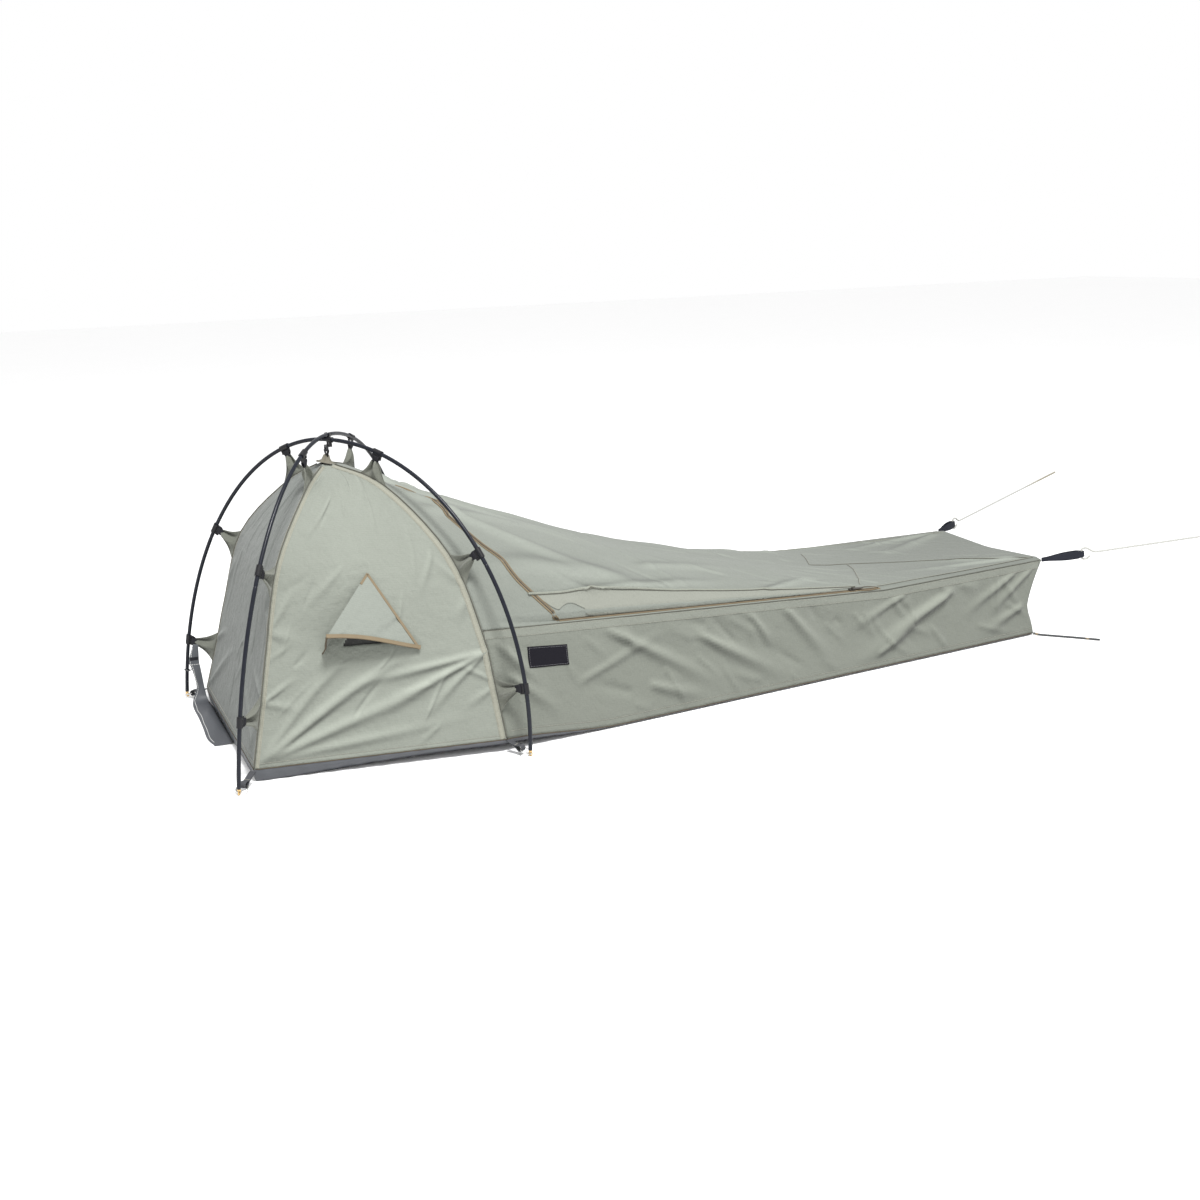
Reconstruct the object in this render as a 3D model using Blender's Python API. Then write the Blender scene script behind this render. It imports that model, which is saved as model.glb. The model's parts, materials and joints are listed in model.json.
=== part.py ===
"""Motorcycle camping tent: a low canvas tunnel hung under two crossed arched poles.

The frame stands at the head end, X runs to the foot end, Y to the far side and Z up. The origin is
under the middle of the floor. All lengths are metres.
"""
import math

import bmesh
import bpy
from mathutils import Matrix, Vector
from mathutils.bvhtree import BVHTree
from mathutils.geometry import convex_hull_2d, tessellate_polygon

# Clearance kept between pieces that touch
GAP = 0.0003

# Frame: two crossed poles, each a pair of quarter ellipses in one leaning plane
HEAD_FEET_X = -1.125
POLE_BASE_LENGTH = 0.625
HEAD_FOOT_SPREAD = 0.745
MID_FOOT_SPREAD = 0.910
POLE_HEIGHT = 0.685
CROSSING_SHIFT = 0.046
POLE_RADIUS = 0.00425
POLE_END_HEIGHT = 0.014
END_SECTION_LENGTH = 0.430
SPIGOT_RADIUS = 0.0031
SPIGOT_LENGTH = 0.030
PIN_BORE_RADIUS = 0.0022
PIN_BORE_DEPTH = 0.016

# Canvas: heights and widths of the dome, the walls and the foot end
CROWN_DROP = 0.059
HEM_HEIGHT = 0.030
WALL_TOP_AT_DOME = 0.272
WALL_TOP_LOW = 0.199
WALL_TOP_LOW_X = 0.575
FOOT_TOP_X = 1.125
FOOT_TOP_WIDTH = 0.458
FOOT_TOP_HEIGHT = 0.205
FOOT_TOP_SAG = 0.005
FOOT_BASE_X = 1.085
FOOT_BASE_WIDTH = 0.510
FOOT_WAIST_X = 1.070
FOOT_HEM_HEIGHT = 0.006
HEM_FALL_LENGTH = 0.300
ROOF_FALL_POWER = 2.4
CANVAS_THICKNESS = 0.0012
SEAM_THICKNESS = 0.0020
SEAM_OUTSIDE = 0.002
SEAM_INSIDE = 0.006
CROWN_HOLE = 0.016

# Clips, webbing and gussets
CLIP_LENGTH = 0.024
CLIP_WALL = 0.0026
CLIP_NECK = 0.0022
CLIP_SLOT_NEAR = 0.0090
CLIP_SLOT_FAR = 0.0122
CLIP_BAR_END = 0.0150
CLIP_SLOT_HALF = 0.0100
TAB_HALF_WIDTH = 0.0096
TAB_THICKNESS = 0.0013
TAB_ROOT = 0.0240
GUSSET_HALF_BASE = 0.040
GUSSET_TIP = TAB_HALF_WIDTH + 0.0007
CLIP_ANGLES = (76.9, 48.8, 15.3)
CLIP_NAMES = ("low", "middle", "high")

# Crossing clip and the tape that carries the crown
CROSS_HOOK_OFFSET = 0.013
CROSS_HOOK_HALF = 0.006
CROSS_STEM_HALF = 0.0035
CROSS_BAR_DROP = 0.0205
CROSS_BAR_HALF = 0.0026
CROSS_BAR_HALF_WIDTH = 0.0135
TAPE_HALF_WIDTH = 0.0100
TAPE_THICKNESS = 0.0013
CROWN_CAP_RADIUS = 0.030
CROWN_CAP_RISE = 0.0010
CROWN_CAP_LIFT = 0.0034

# Pole feet: eye pins, rings and corner straps
PIN_SHANK_RADIUS = 0.0019
PIN_COLLAR_RADIUS = 0.0040
PIN_COLLAR_HEIGHT = 0.0030
EYE_RADIUS = 0.0042
EYE_WIRE = 0.0015
RING_RADIUS = 0.0125
RING_WIRE = 0.0016
STRAP_HALF_WIDTH = 0.007
STRAP_THICKNESS = 0.0014
STRAP_LOOP_RADIUS = 0.0054
STRAP_LOOP_TAIL = 0.012
STRAP_HEM_GAP = 0.0065

# Floor
FLOOR_THICKNESS = 0.0015
FLOOR_INSET_HEAD = 0.004
FLOOR_INSET_MID = 0.055
FLOOR_INSET_WALL = 0.008
FLOOR_HEAD_START = 0.040
FLOOR_TUCK_START_X = -1.08
FLOOR_TUCK_GROWTH = 0.45
FLOOR_TUCK_END_X = -0.20
FLOOR_TUCK_FADE = 0.32

NEAR_HEAD, NEAR_MID, FAR_HEAD, FAR_MID = "near_head", "near_mid", "far_head", "far_mid"
CORNERS = (NEAR_HEAD, NEAR_MID, FAR_HEAD, FAR_MID)
UP = Vector((CROSSING_SHIFT / POLE_HEIGHT, 0.0, 1.0))
Z_AXIS = Vector((0.0, 0.0, 1.0))
CANVAS_HEIGHT = POLE_HEIGHT - CROWN_DROP
CROSSING_SHARE = HEAD_FOOT_SPREAD / (HEAD_FOOT_SPREAD + MID_FOOT_SPREAD)
CROSSING = Vector((HEAD_FEET_X + POLE_BASE_LENGTH * CROSSING_SHARE, 0.0, 0.0))

# Corner seams in the pole planes: (share of the way to the foot, share of the canvas height), from
# the hem to the crown. The hem's and the crown's own values are set in seam_controls.
HEAD_SEAM = ((0.85, 0.0), (0.76, 0.272), (0.70, 0.431), (0.57, 0.712), (0.25, 0.922), (0.0, 1.0))
MID_SEAM = ((0.89, 0.0), (0.83, 0.248), (0.77, 0.425), (0.61, 0.701), (0.30, 0.928), (0.0, 1.0))


def clear_scene():
    for item in list(bpy.data.objects):
        bpy.data.objects.remove(item, do_unlink=True)


def material(name, colour, roughness, metallic=0.0):
    """One plain Principled material."""
    made = bpy.data.materials.new(name)
    made.use_nodes = True
    shader = made.node_tree.nodes["Principled BSDF"]
    shader.inputs["Base Color"].default_value = (*colour, 1.0)
    shader.inputs["Roughness"].default_value = roughness
    shader.inputs["Metallic"].default_value = metallic
    return made


def add_piece(name, mesh, finish, matrix=None):
    """Put one finished mesh into the scene as a named piece."""
    piece = bpy.data.objects.new(name, mesh)
    bpy.context.collection.objects.link(piece)
    if not mesh.materials:
        mesh.materials.append(finish)
    if matrix is not None:
        piece.matrix_world = matrix
    return piece


def closed_mesh(name, points, faces):
    """A mesh from points and faces, with every face turned outwards."""
    mesh = bpy.data.meshes.new(name)
    mesh.from_pydata([tuple(point) for point in points], [], faces)
    work = bmesh.new()
    work.from_mesh(mesh)
    bmesh.ops.recalc_face_normals(work, faces=work.faces)
    work.to_mesh(mesh)
    work.free()
    return mesh


def combine(name, base, others, operation):
    """Join or cut one mesh with others, exactly, and return the result."""
    holder = bpy.data.objects.new(name, base)
    bpy.context.collection.objects.link(holder)
    helpers = []
    for other in others:
        helper = bpy.data.objects.new(name + "_helper", other)
        bpy.context.collection.objects.link(helper)
        helpers.append(helper)
        step = holder.modifiers.new("step", "BOOLEAN")
        step.operation = operation
        step.solver = "EXACT"
        step.object = helper
    graph = bpy.context.evaluated_depsgraph_get()
    result = bpy.data.meshes.new_from_object(holder.evaluated_get(graph))
    work = bmesh.new()
    work.from_mesh(result)
    bmesh.ops.triangulate(work, faces=work.faces)
    work.to_mesh(result)
    work.free()
    for item in (holder, *helpers):
        bpy.data.objects.remove(item, do_unlink=True)
    result.name = name
    return result


def prism(name, outlines, start, end, frame):
    """Extrude flat outlines, the first solid and the rest holes, from start to end along frame Z."""
    rings = [[Vector((x, y, 0.0)) for x, y in outline] for outline in outlines]
    flat = [point for ring in rings for point in ring]
    count = len(flat)
    points = [frame @ (point + Z_AXIS * start) for point in flat]
    points += [frame @ (point + Z_AXIS * end) for point in flat]
    faces = []
    for a, b, c in tessellate_polygon(rings):
        faces.append((a, b, c))
        faces.append((a + count, b + count, c + count))
    first = 0
    for ring in rings:
        size = len(ring)
        for k in range(size):
            a = first + k
            b = first + (k + 1) % size
            faces.append((a, b, b + count, a + count))
        first += size
    return closed_mesh(name, points, faces)


def loft(name, rings):
    """A closed solid through rings of equally many points, with a flat cap at each end."""
    size = len(rings[0])
    points = [point for ring in rings for point in ring]
    faces = [tuple(range(size)), tuple(range(len(points) - size, len(points)))]
    for level in range(len(rings) - 1):
        for k in range(size):
            a = level * size + k
            b = level * size + (k + 1) % size
            faces.append((a, b, b + size, a + size))
    return closed_mesh(name, points, faces)


def arc(centre, radius, start, end, steps):
    """Points on an arc in degrees, ends included."""
    points = []
    for k in range(steps + 1):
        angle = math.radians(start + (end - start) * k / steps)
        points.append((centre[0] + radius * math.cos(angle), centre[1] + radius * math.sin(angle)))
    return points


def torus(name, centre, axis_u, axis_v, radius, wire, around, section):
    """A ring of round wire lying in the plane of two unit axes."""
    axis_w = axis_u.cross(axis_v)
    points = []
    faces = []
    for k in range(around):
        turn = 2.0 * math.pi * k / around
        spoke = axis_u * math.cos(turn) + axis_v * math.sin(turn)
        for m in range(section):
            roll = 2.0 * math.pi * (m + 0.5) / section
            points.append(centre + spoke * (radius + wire * math.cos(roll)) + axis_w * wire * math.sin(roll))
            a = k * section + m
            b = k * section + (m + 1) % section
            c = ((k + 1) % around) * section + (m + 1) % section
            d = ((k + 1) % around) * section + m
            faces.append((a, b, c, d))
    return closed_mesh(name, points, faces)


def axes_matrix(x_axis, y_axis, z_axis, place):
    """A placing matrix from three unit axes and a point."""
    matrix = Matrix.Identity(4)
    for column, axis in enumerate((x_axis, y_axis, z_axis, place)):
        for row in range(3):
            matrix[row][column] = axis[row]
    return matrix


def smooth_curve(controls, steps):
    """Points on a smooth curve through the control points, steps to each span."""
    path = [Vector(point) for point in controls]
    path = [path[0] * 2 - path[1], *path, path[-1] * 2 - path[-2]]
    points = []
    for k in range(1, len(path) - 2):
        for m in range(steps):
            points.append(spline_point(path[k - 1:k + 3], m / steps))
    points.append(path[-2])
    return points


def spline_point(four, share):
    """A point between the middle two of four points, on the smooth curve through them."""
    a, b, c, d = four
    square = share * share
    cube = square * share
    even = 2 * b + (2 * a - 5 * b + 4 * c - d) * square
    return 0.5 * (even + (c - a) * share + (3 * b - a - 3 * c + d) * cube)


# Pole planes and seams

def foot(corner):
    """Where a pole end stands on the ground."""
    x = HEAD_FEET_X if "head" in corner else HEAD_FEET_X + POLE_BASE_LENGTH
    half = (HEAD_FOOT_SPREAD if "head" in corner else MID_FOOT_SPREAD) / 2
    return Vector((x, -half if "near" in corner else half, 0.0))


def spoke(corner):
    return foot(corner) - CROSSING


def plane_normal(corner):
    """Unit normal of a corner's pole plane."""
    return spoke(corner).cross(UP).normalized()


def seam_controls(corner):
    """Control points of a corner seam, from the hem to the edge of the crown."""
    shares = HEAD_SEAM if "head" in corner else MID_SEAM
    reach = spoke(corner).length
    controls = []
    for share, level in shares:
        height = max(level * CANVAS_HEIGHT, HEM_HEIGHT)
        share = max(share, CROWN_HOLE / reach)
        controls.append(CROSSING + spoke(corner) * share + UP * height)
    return controls


SEAM_STEPS = 5
SEAMS = {corner: smooth_curve(seam_controls(corner), SEAM_STEPS) for corner in CORNERS}


def along(path, share):
    """The point at a share of a path's index range."""
    place = min(max(share, 0.0), 1.0) * (len(path) - 1)
    low = min(int(place), len(path) - 2)
    return path[low].lerp(path[low + 1], place - low)


def seam_at_height(corner, height):
    """The index share on a seam where it reaches a height."""
    path = SEAMS[corner]
    for k in range(len(path) - 1):
        if path[k].z <= height <= path[k + 1].z:
            part = (height - path[k].z) / max(path[k + 1].z - path[k].z, 1e-9)
            return (k + part) / (len(path) - 1)
    return 1.0


# Poles

POLE_ENDS = {"near_head_pole": (NEAR_HEAD, FAR_MID, 1.0), "far_head_pole": (FAR_HEAD, NEAR_MID, -1.0)}
POLE_SIDES = 10
DENSE = 360


def pole_curve(corner_from, corner_to, level):
    """Dense points of one pole from foot to foot. Level lifts one pole over the other."""
    height = POLE_HEIGHT + level * (POLE_RADIUS + GAP)
    last = math.degrees(math.acos(POLE_END_HEIGHT / height))
    points = []
    for k in range(DENSE + 1):
        angle = -last + 2 * last * k / DENSE
        side = corner_from if angle < 0 else corner_to
        turn = math.radians(abs(angle))
        points.append(CROSSING + spoke(side) * math.sin(turn) + UP * height * math.cos(turn))
    return points


def lengths(points):
    total = [0.0]
    for a, b in zip(points, points[1:]):
        total.append(total[-1] + (b - a).length)
    return total


def at_length(points, total, place):
    """Point and unit direction at a distance along dense points."""
    low = 0
    high = len(total) - 1
    while high - low > 1:
        middle = (low + high) // 2
        if total[middle] <= place:
            low = middle
        else:
            high = middle
    step = points[low + 1] - points[low]
    part = (place - total[low]) / (total[low + 1] - total[low])
    return points[low] + step * part, step.normalized()


def clip_places(name):
    """Distances along a pole of its six clips, each with its corner and its name."""
    corner_from, corner_to, level = POLE_ENDS[name]
    points = pole_curve(corner_from, corner_to, level)
    total = lengths(points)
    last = math.degrees(math.acos(POLE_END_HEIGHT / (POLE_HEIGHT + level * (POLE_RADIUS + GAP))))
    places = []
    for angle, label in zip(CLIP_ANGLES, CLIP_NAMES):
        for sign, corner in ((-1, corner_from), (1, corner_to)):
            index = (sign * angle + last) / (2 * last) * DENSE
            low = int(index)
            place = total[low] + (total[low + 1] - total[low]) * (index - low)
            places.append((place, corner, label))
    return places


def crossing_grip(name):
    """Start and end, along a pole, of the straight grip that the crossing clip's hook holds."""
    corner_from, corner_to, level = POLE_ENDS[name]
    points = pole_curve(corner_from, corner_to, level)
    total = lengths(points)
    place = total[DENSE // 2] + CROSS_HOOK_OFFSET
    return points, total, place - CROSS_HOOK_HALF * 1.1, place + CROSS_HOOK_HALF * 1.1


def swept_turning(name, points, total, profile, across, sides):
    """A turned profile of (distance, radius) carried along a curve, closed at both ends."""
    rings = []
    for place, radius in profile:
        centre, along_it = at_length(points, total, place)
        up = across.cross(along_it)
        ring = []
        for k in range(sides):
            turn = 2 * math.pi * (k + 0.5) / sides
            ring.append(centre + (across * math.cos(turn) + up * math.sin(turn)) * radius)
        rings.append(ring)
    return loft(name, rings)


def section_stations(start, end, grips, spacing=0.060):
    """Ring places along one section: the ends, straight grips at the clips, and an even spread."""
    fixed = [start, end] + [grip for grip in grips if start + 0.002 < grip < end - 0.002]
    fixed.sort()
    stations = []
    for a, b in zip(fixed, fixed[1:]):
        parts = max(1, round((b - a) / spacing))
        stations += [a + (b - a) * k / parts for k in range(parts)]
    return stations + [end]


def make_pole(name, finish):
    """Four plug-in sections. Each has a bore at its start and a spigot at its end."""
    corner_from, corner_to, level = POLE_ENDS[name]
    points = pole_curve(corner_from, corner_to, level)
    total = lengths(points)
    across = plane_normal(corner_from)
    grips = list(crossing_grip(name)[2:])
    for place, corner, label in clip_places(name):
        grips += [place - CLIP_LENGTH * 0.56, place + CLIP_LENGTH * 0.56]
    middle = (total[-1] - 2 * END_SECTION_LENGTH) / 2
    joints = [0.0, END_SECTION_LENGTH, END_SECTION_LENGTH + middle]
    joints += [END_SECTION_LENGTH + 2 * middle, total[-1]]
    for k in range(4):
        start = joints[k] + (GAP / 2 if k else 0.0)
        end = joints[k + 1] - (GAP / 2 if k < 3 else 0.0)
        bore = PIN_BORE_RADIUS if k == 0 else SPIGOT_RADIUS + GAP
        bore_depth = PIN_BORE_DEPTH if k == 0 else SPIGOT_LENGTH + GAP
        profile = [(start + bore_depth, bore), (start + bore_depth / 2, bore), (start, bore)]
        profile += [(place, POLE_RADIUS) for place in section_stations(start, end, grips)]
        if k < 3:
            profile += [(end, SPIGOT_RADIUS), (end + SPIGOT_LENGTH / 2, SPIGOT_RADIUS)]
            profile += [(end + SPIGOT_LENGTH, SPIGOT_RADIUS)]
        else:
            profile += [(end, PIN_BORE_RADIUS), (end - PIN_BORE_DEPTH, PIN_BORE_RADIUS)]
        mesh = swept_turning(f"{name}_section_{k + 1}", points, total, profile, across, POLE_SIDES)
        add_piece(mesh.name, mesh, finish)


# Hook clips

def clip_mesh():
    """A snap hook round the pole with a slotted bar. X runs along the pole, Y to the canvas."""
    inner = POLE_RADIUS + GAP
    outer = inner + CLIP_WALL
    root = math.degrees(math.asin(CLIP_NECK / outer))
    outline = arc((0, 0), outer, 110, 360 - root, 12)
    outline += [(CLIP_BAR_END, -CLIP_NECK), (CLIP_BAR_END, CLIP_NECK)]
    outline += arc((0, 0), outer, root, 28, 1)
    outline += arc((0, 0), inner, 28, -250, 12)
    frame = axes_matrix(Vector((0, 1, 0)), Vector((0, 0, 1)), Vector((1, 0, 0)), Vector((0, 0, 0)))
    hook = prism("hook", [outline], -CLIP_LENGTH / 2, CLIP_LENGTH / 2, frame)
    slot_outline = [(CLIP_SLOT_NEAR, -0.01), (CLIP_SLOT_FAR, -0.01)]
    slot_outline += [(x, -y) for x, y in reversed(slot_outline)]
    slot = prism("slot", [slot_outline], -CLIP_SLOT_HALF, CLIP_SLOT_HALF, frame)
    return combine("hook_clip", hook, [slot], "DIFFERENCE")


def clip_frames(name):
    """The placing matrix of each clip on a pole, keyed by its piece's name."""
    corner_from, corner_to, level = POLE_ENDS[name]
    points = pole_curve(corner_from, corner_to, level)
    total = lengths(points)
    frames = {}
    for place, corner, label in clip_places(name):
        low, direction = at_length(points, total, place - CLIP_LENGTH * 0.56)
        high, direction = at_length(points, total, place + CLIP_LENGTH * 0.56)
        axis = (high - low).normalized()
        if axis.z < 0:
            axis = -axis
        normal = plane_normal(corner)
        inward = normal.cross(axis)
        if inward.dot(spoke(corner)) > 0:
            inward = -inward
        frames[(corner, label)] = axes_matrix(axis, inward, axis.cross(inward), (low + high) / 2)
    return frames


# Corner seams with their gussets and tabs

def direction_at(path, k):
    """Unit direction of a path at one of its points."""
    a = path[max(k - 1, 0)]
    b = path[min(k + 1, len(path) - 1)]
    return (b - a).normalized()


def make_corner_seam(corner, frames, finish):
    """The taped seam of one corner, its three sewn gussets and the webbing loop on each."""
    path = SEAMS[corner]
    normal = plane_normal(corner)
    total = lengths(path)
    side = []
    for k in range(len(path)):
        out = normal.cross(direction_at(path, k))
        if out.dot(spoke(corner) + Z_AXIS * 0.3) < 0:
            out = -out
        side.append(out)
    outer = [point + out * SEAM_OUTSIDE for point, out in zip(path, side)]
    inner = [point - out * SEAM_INSIDE for point, out in zip(path, side)]
    inner[0] = Vector((inner[0].x, inner[0].y, HEM_HEIGHT))
    outer[0] = Vector((outer[0].x, outer[0].y, HEM_HEIGHT))
    outline = []
    done = -1.0
    for label in CLIP_NAMES:
        place = frames[(corner, label)]
        centre = place.translation
        axis = place.col[0].to_3d()
        inward = place.col[1].to_3d()
        nearest = min(range(len(path)), key=lambda k: abs((path[k] - centre).dot(axis)))
        start = max(total[nearest] - GUSSET_HALF_BASE, 0.006)
        end = min(total[nearest] + GUSSET_HALF_BASE, total[-1] - 0.006)
        outline += [outer[k] for k in range(len(path)) if done + 0.002 < total[k] < start - 0.002]
        for root, step in ((start, -GUSSET_TIP), (end, GUSSET_TIP)):
            base, way = at_length(path, total, root)
            corner_point = centre + inward * TAB_ROOT + axis * step
            pair = [base + side[nearest] * SEAM_OUTSIDE, corner_point]
            outline += pair if step < 0 else pair[::-1]
        done = end
    outline += [outer[k] for k in range(len(path)) if total[k] > done + 0.002]
    outline += list(reversed(inner))
    half = SEAM_THICKNESS / 2
    across = spoke(corner).normalized()
    upright = normal.cross(across)
    frame = axes_matrix(across, upright, normal, CROSSING)
    back = frame.inverted()
    flat = [tuple((back @ point)[:2]) for point in outline]
    frame = axes_matrix(across, upright, across.cross(upright), CROSSING)
    plate = prism("plate", [flat], -half, half, frame)
    loops = [tab_loop(frames[(corner, label)]) for label in CLIP_NAMES]
    mesh = combine(f"corner_seam_{corner}", plate, loops, "UNION")
    add_piece(mesh.name, mesh, finish)


def tab_loop(place):
    """Webbing doubled round a clip's bar, as a ring of cloth in the clip's own frame."""
    skin = CLIP_NECK + GAP + TAB_THICKNESS
    front = CLIP_SLOT_FAR - GAP - TAB_THICKNESS
    half = SEAM_THICKNESS / 2
    outer = [(TAB_ROOT + 0.003, half * 0.8), (TAB_ROOT - 0.005, skin)]
    outer += [(front + 0.001, skin), (front, skin - 0.001)]
    outer += [(a, -b) for a, b in reversed(outer)]
    bar = CLIP_NECK + GAP
    hole = [(CLIP_SLOT_FAR - GAP, -bar), (CLIP_BAR_END + GAP, -bar), (TAB_ROOT - 0.0045, 0.0)]
    hole += [(CLIP_BAR_END + GAP, bar), (CLIP_SLOT_FAR - GAP, bar)]
    frame = place @ axes_matrix(Vector((0, 1, 0)), Vector((0, 0, 1)), Vector((1, 0, 0)), Vector((0, 0, 0)))
    return prism("tab", [outer, hole], -TAB_HALF_WIDTH, TAB_HALF_WIDTH, frame)


# Pole feet: pin, ring and strap

def pull_axis(corner):
    """Unit direction from a pole foot to the hem corner that its strap pulls on."""
    hem = SEAMS[corner][0]
    return (hem - (foot(corner) + Z_AXIS * eye_height())).normalized()


def eye_height():
    return EYE_RADIUS + EYE_WIRE + 0.0002


def pole_end(corner):
    """End point and inward direction of the pole that stands at a corner."""
    for name, (corner_from, corner_to, level) in POLE_ENDS.items():
        if corner in (corner_from, corner_to):
            points = pole_curve(corner_from, corner_to, level)
            if corner == corner_to:
                points.reverse()
            return points[0], (points[1] - points[0]).normalized()
    return None


def ring_centre(corner):
    """A ring hangs on the tent side of its eye, drawn by the strap."""
    end, up = pole_end(corner)
    eye = eye_centre(corner)
    slack = EYE_RADIUS - EYE_WIRE - RING_WIRE - GAP
    return eye + pull_axis(corner) * (slack + RING_RADIUS)


def eye_centre(corner):
    end, up = pole_end(corner)
    return Vector((end.x, end.y, eye_height()))


def make_pole_pin(corner, finish):
    """A turned pin in the pole's end with a collar and a wire eye under it."""
    end, up = pole_end(corner)
    across = plane_normal(corner)
    side = across.cross(up)
    top = end - up * GAP
    shank = end + up * (PIN_BORE_DEPTH - 0.002)
    bottom = top - up * PIN_COLLAR_HEIGHT
    rings = []
    for centre, radius in ((shank, PIN_SHANK_RADIUS), (top, PIN_SHANK_RADIUS), (top, PIN_COLLAR_RADIUS),
                           (bottom, PIN_COLLAR_RADIUS), (bottom, PIN_COLLAR_RADIUS * 0.5)):
        ring = []
        for k in range(8):
            turn = 2 * math.pi * (k + 0.5) / 8
            ring.append(centre + (across * math.cos(turn) + side * math.sin(turn)) * radius)
        rings.append(ring)
    turned = loft("turned", rings)
    eye = torus("eye", eye_centre(corner), spoke(corner).normalized(), Z_AXIS, EYE_RADIUS, EYE_WIRE, 14, 6)
    mesh = combine(f"pole_pin_{corner}", turned, [eye], "UNION")
    add_piece(mesh.name, mesh, finish)


def make_ring(corner, finish):
    pull = pull_axis(corner)
    across = plane_normal(corner)
    mesh = torus(f"foot_ring_{corner}", Vector((0, 0, 0)), pull, across, RING_RADIUS, RING_WIRE, 20, 6)
    add_piece(mesh.name, mesh, finish, Matrix.Translation(ring_centre(corner)))


def make_corner_strap(corner, finish):
    """Webbing from the hem corner, doubled round the ring."""
    pull = pull_axis(corner)
    across = plane_normal(corner)
    rise = across.cross(pull)
    if rise.z < 0:
        rise = -rise
    wire = ring_centre(corner) + pull * RING_RADIUS
    hem = SEAMS[corner][0]
    reach = (hem - wire).dot(pull) - STRAP_HEM_GAP
    inner = STRAP_LOOP_RADIUS
    outer = inner + STRAP_THICKNESS
    outline = arc((0, 0), outer, 90, 270, 8)
    outline += [(STRAP_LOOP_TAIL, -STRAP_THICKNESS), (reach, -STRAP_THICKNESS)]
    outline += [(reach, STRAP_THICKNESS), (STRAP_LOOP_TAIL, STRAP_THICKNESS)]
    hole = arc((0, 0), inner, 90, 270, 8) + [(STRAP_LOOP_TAIL - 0.001, 0.0)]
    side = pull.cross(rise)
    frame = axes_matrix(pull, rise, side, wire)
    mesh = prism(f"corner_strap_{corner}", [outline, hole], -STRAP_HALF_WIDTH, STRAP_HALF_WIDTH, frame)
    add_piece(mesh.name, mesh, finish)


# Crossing clip and the tape that carries the crown

def hook_ring(centre, axis):
    """A C-shaped hook that snaps over a pole, open at its top."""
    side = axis.cross(Z_AXIS).normalized()
    up = side.cross(axis).normalized()
    inner = POLE_RADIUS + GAP
    outer = inner + CLIP_WALL
    outline = arc((0, 0), outer, 132, 408, 12) + arc((0, 0), inner, 408, 132, 12)
    frame = axes_matrix(side, up, side.cross(up), centre)
    return prism("hook", [outline], -CROSS_HOOK_HALF, CROSS_HOOK_HALF, frame)


def make_crossing_clip(finish):
    """A double hook: one hook on each pole beside the crossing, on one stem with a webbing bar."""
    height = CROSSING + UP * POLE_HEIGHT
    bar_top = height - Z_AXIS * (CROSS_BAR_DROP - CROSS_BAR_HALF)
    bodies = []
    hooks = []
    for name in POLE_ENDS:
        points, total, start, end = crossing_grip(name)
        a, way = at_length(points, total, start)
        b, way = at_length(points, total, end)
        hooks.append((a + b) / 2)
        bodies.append(hook_ring((a + b) / 2, (b - a).normalized()))
    high_hook, low_hook = hooks
    for hook in hooks:
        rim = hook.z - POLE_RADIUS - GAP - CLIP_WALL * 0.5
        bodies.append(box_mesh((hook.x, hook.y), CROSS_STEM_HALF, CROSS_STEM_HALF, bar_top.z - 0.002, rim))
    spread = high_hook - low_hook
    middle = (high_hook + low_hook) / 2
    reach = Vector((spread.x, spread.y, 0.0))
    frame = axes_matrix(reach.normalized(), Vector((-reach.y, reach.x, 0)).normalized(), Z_AXIS,
                        Vector((middle.x, middle.y, 0)))
    centre = Vector((height.x, height.y, 0.0))
    corners = []
    for post in (low_hook, high_hook, centre):
        for step_x in (-CROSS_STEM_HALF, CROSS_STEM_HALF):
            corners.append((post.x + step_x, post.y - CROSS_STEM_HALF))
            corners.append((post.x + step_x, post.y + CROSS_STEM_HALF))
    slab = [corners[k] for k in convex_hull_2d(corners)]
    bodies.append(prism("slab", [slab], bar_top.z - 0.0035, bar_top.z, Matrix.Identity(4)))
    bar_frame = axes_matrix(frame.col[0].to_3d(), frame.col[1].to_3d(), Z_AXIS, centre)
    wide = CROSS_BAR_HALF_WIDTH
    loop = [(-wide, -CROSS_BAR_HALF), (wide, -CROSS_BAR_HALF)]
    loop += [(wide, CROSS_BAR_HALF), (-wide, CROSS_BAR_HALF)]
    bottom = bar_top.z - 0.0130
    slot_low = bottom + 0.0030
    slot_high = bar_top.z - 0.0040
    body = prism("body", [loop], bottom, bar_top.z - 0.0005, bar_frame)
    gap = TAPE_HALF_WIDTH + 0.0004
    slot = [(-gap, -0.01), (gap, -0.01), (gap, 0.01), (-gap, 0.01)]
    slot_mesh = prism("slot", [slot], slot_low, slot_high, bar_frame)
    body = combine("body", body, [slot_mesh], "DIFFERENCE")
    mesh = combine("crossing_clip", body, bodies, "UNION")
    add_piece(mesh.name, mesh, finish)
    return bar_frame, bottom, slot_low


def box_mesh(centre, half_x, half_y, low, high):
    outline = [(-half_x, -half_y), (half_x, -half_y), (half_x, half_y), (-half_x, half_y)]
    return prism("box", [outline], low, high, Matrix.Translation((centre[0], centre[1], 0)))


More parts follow.
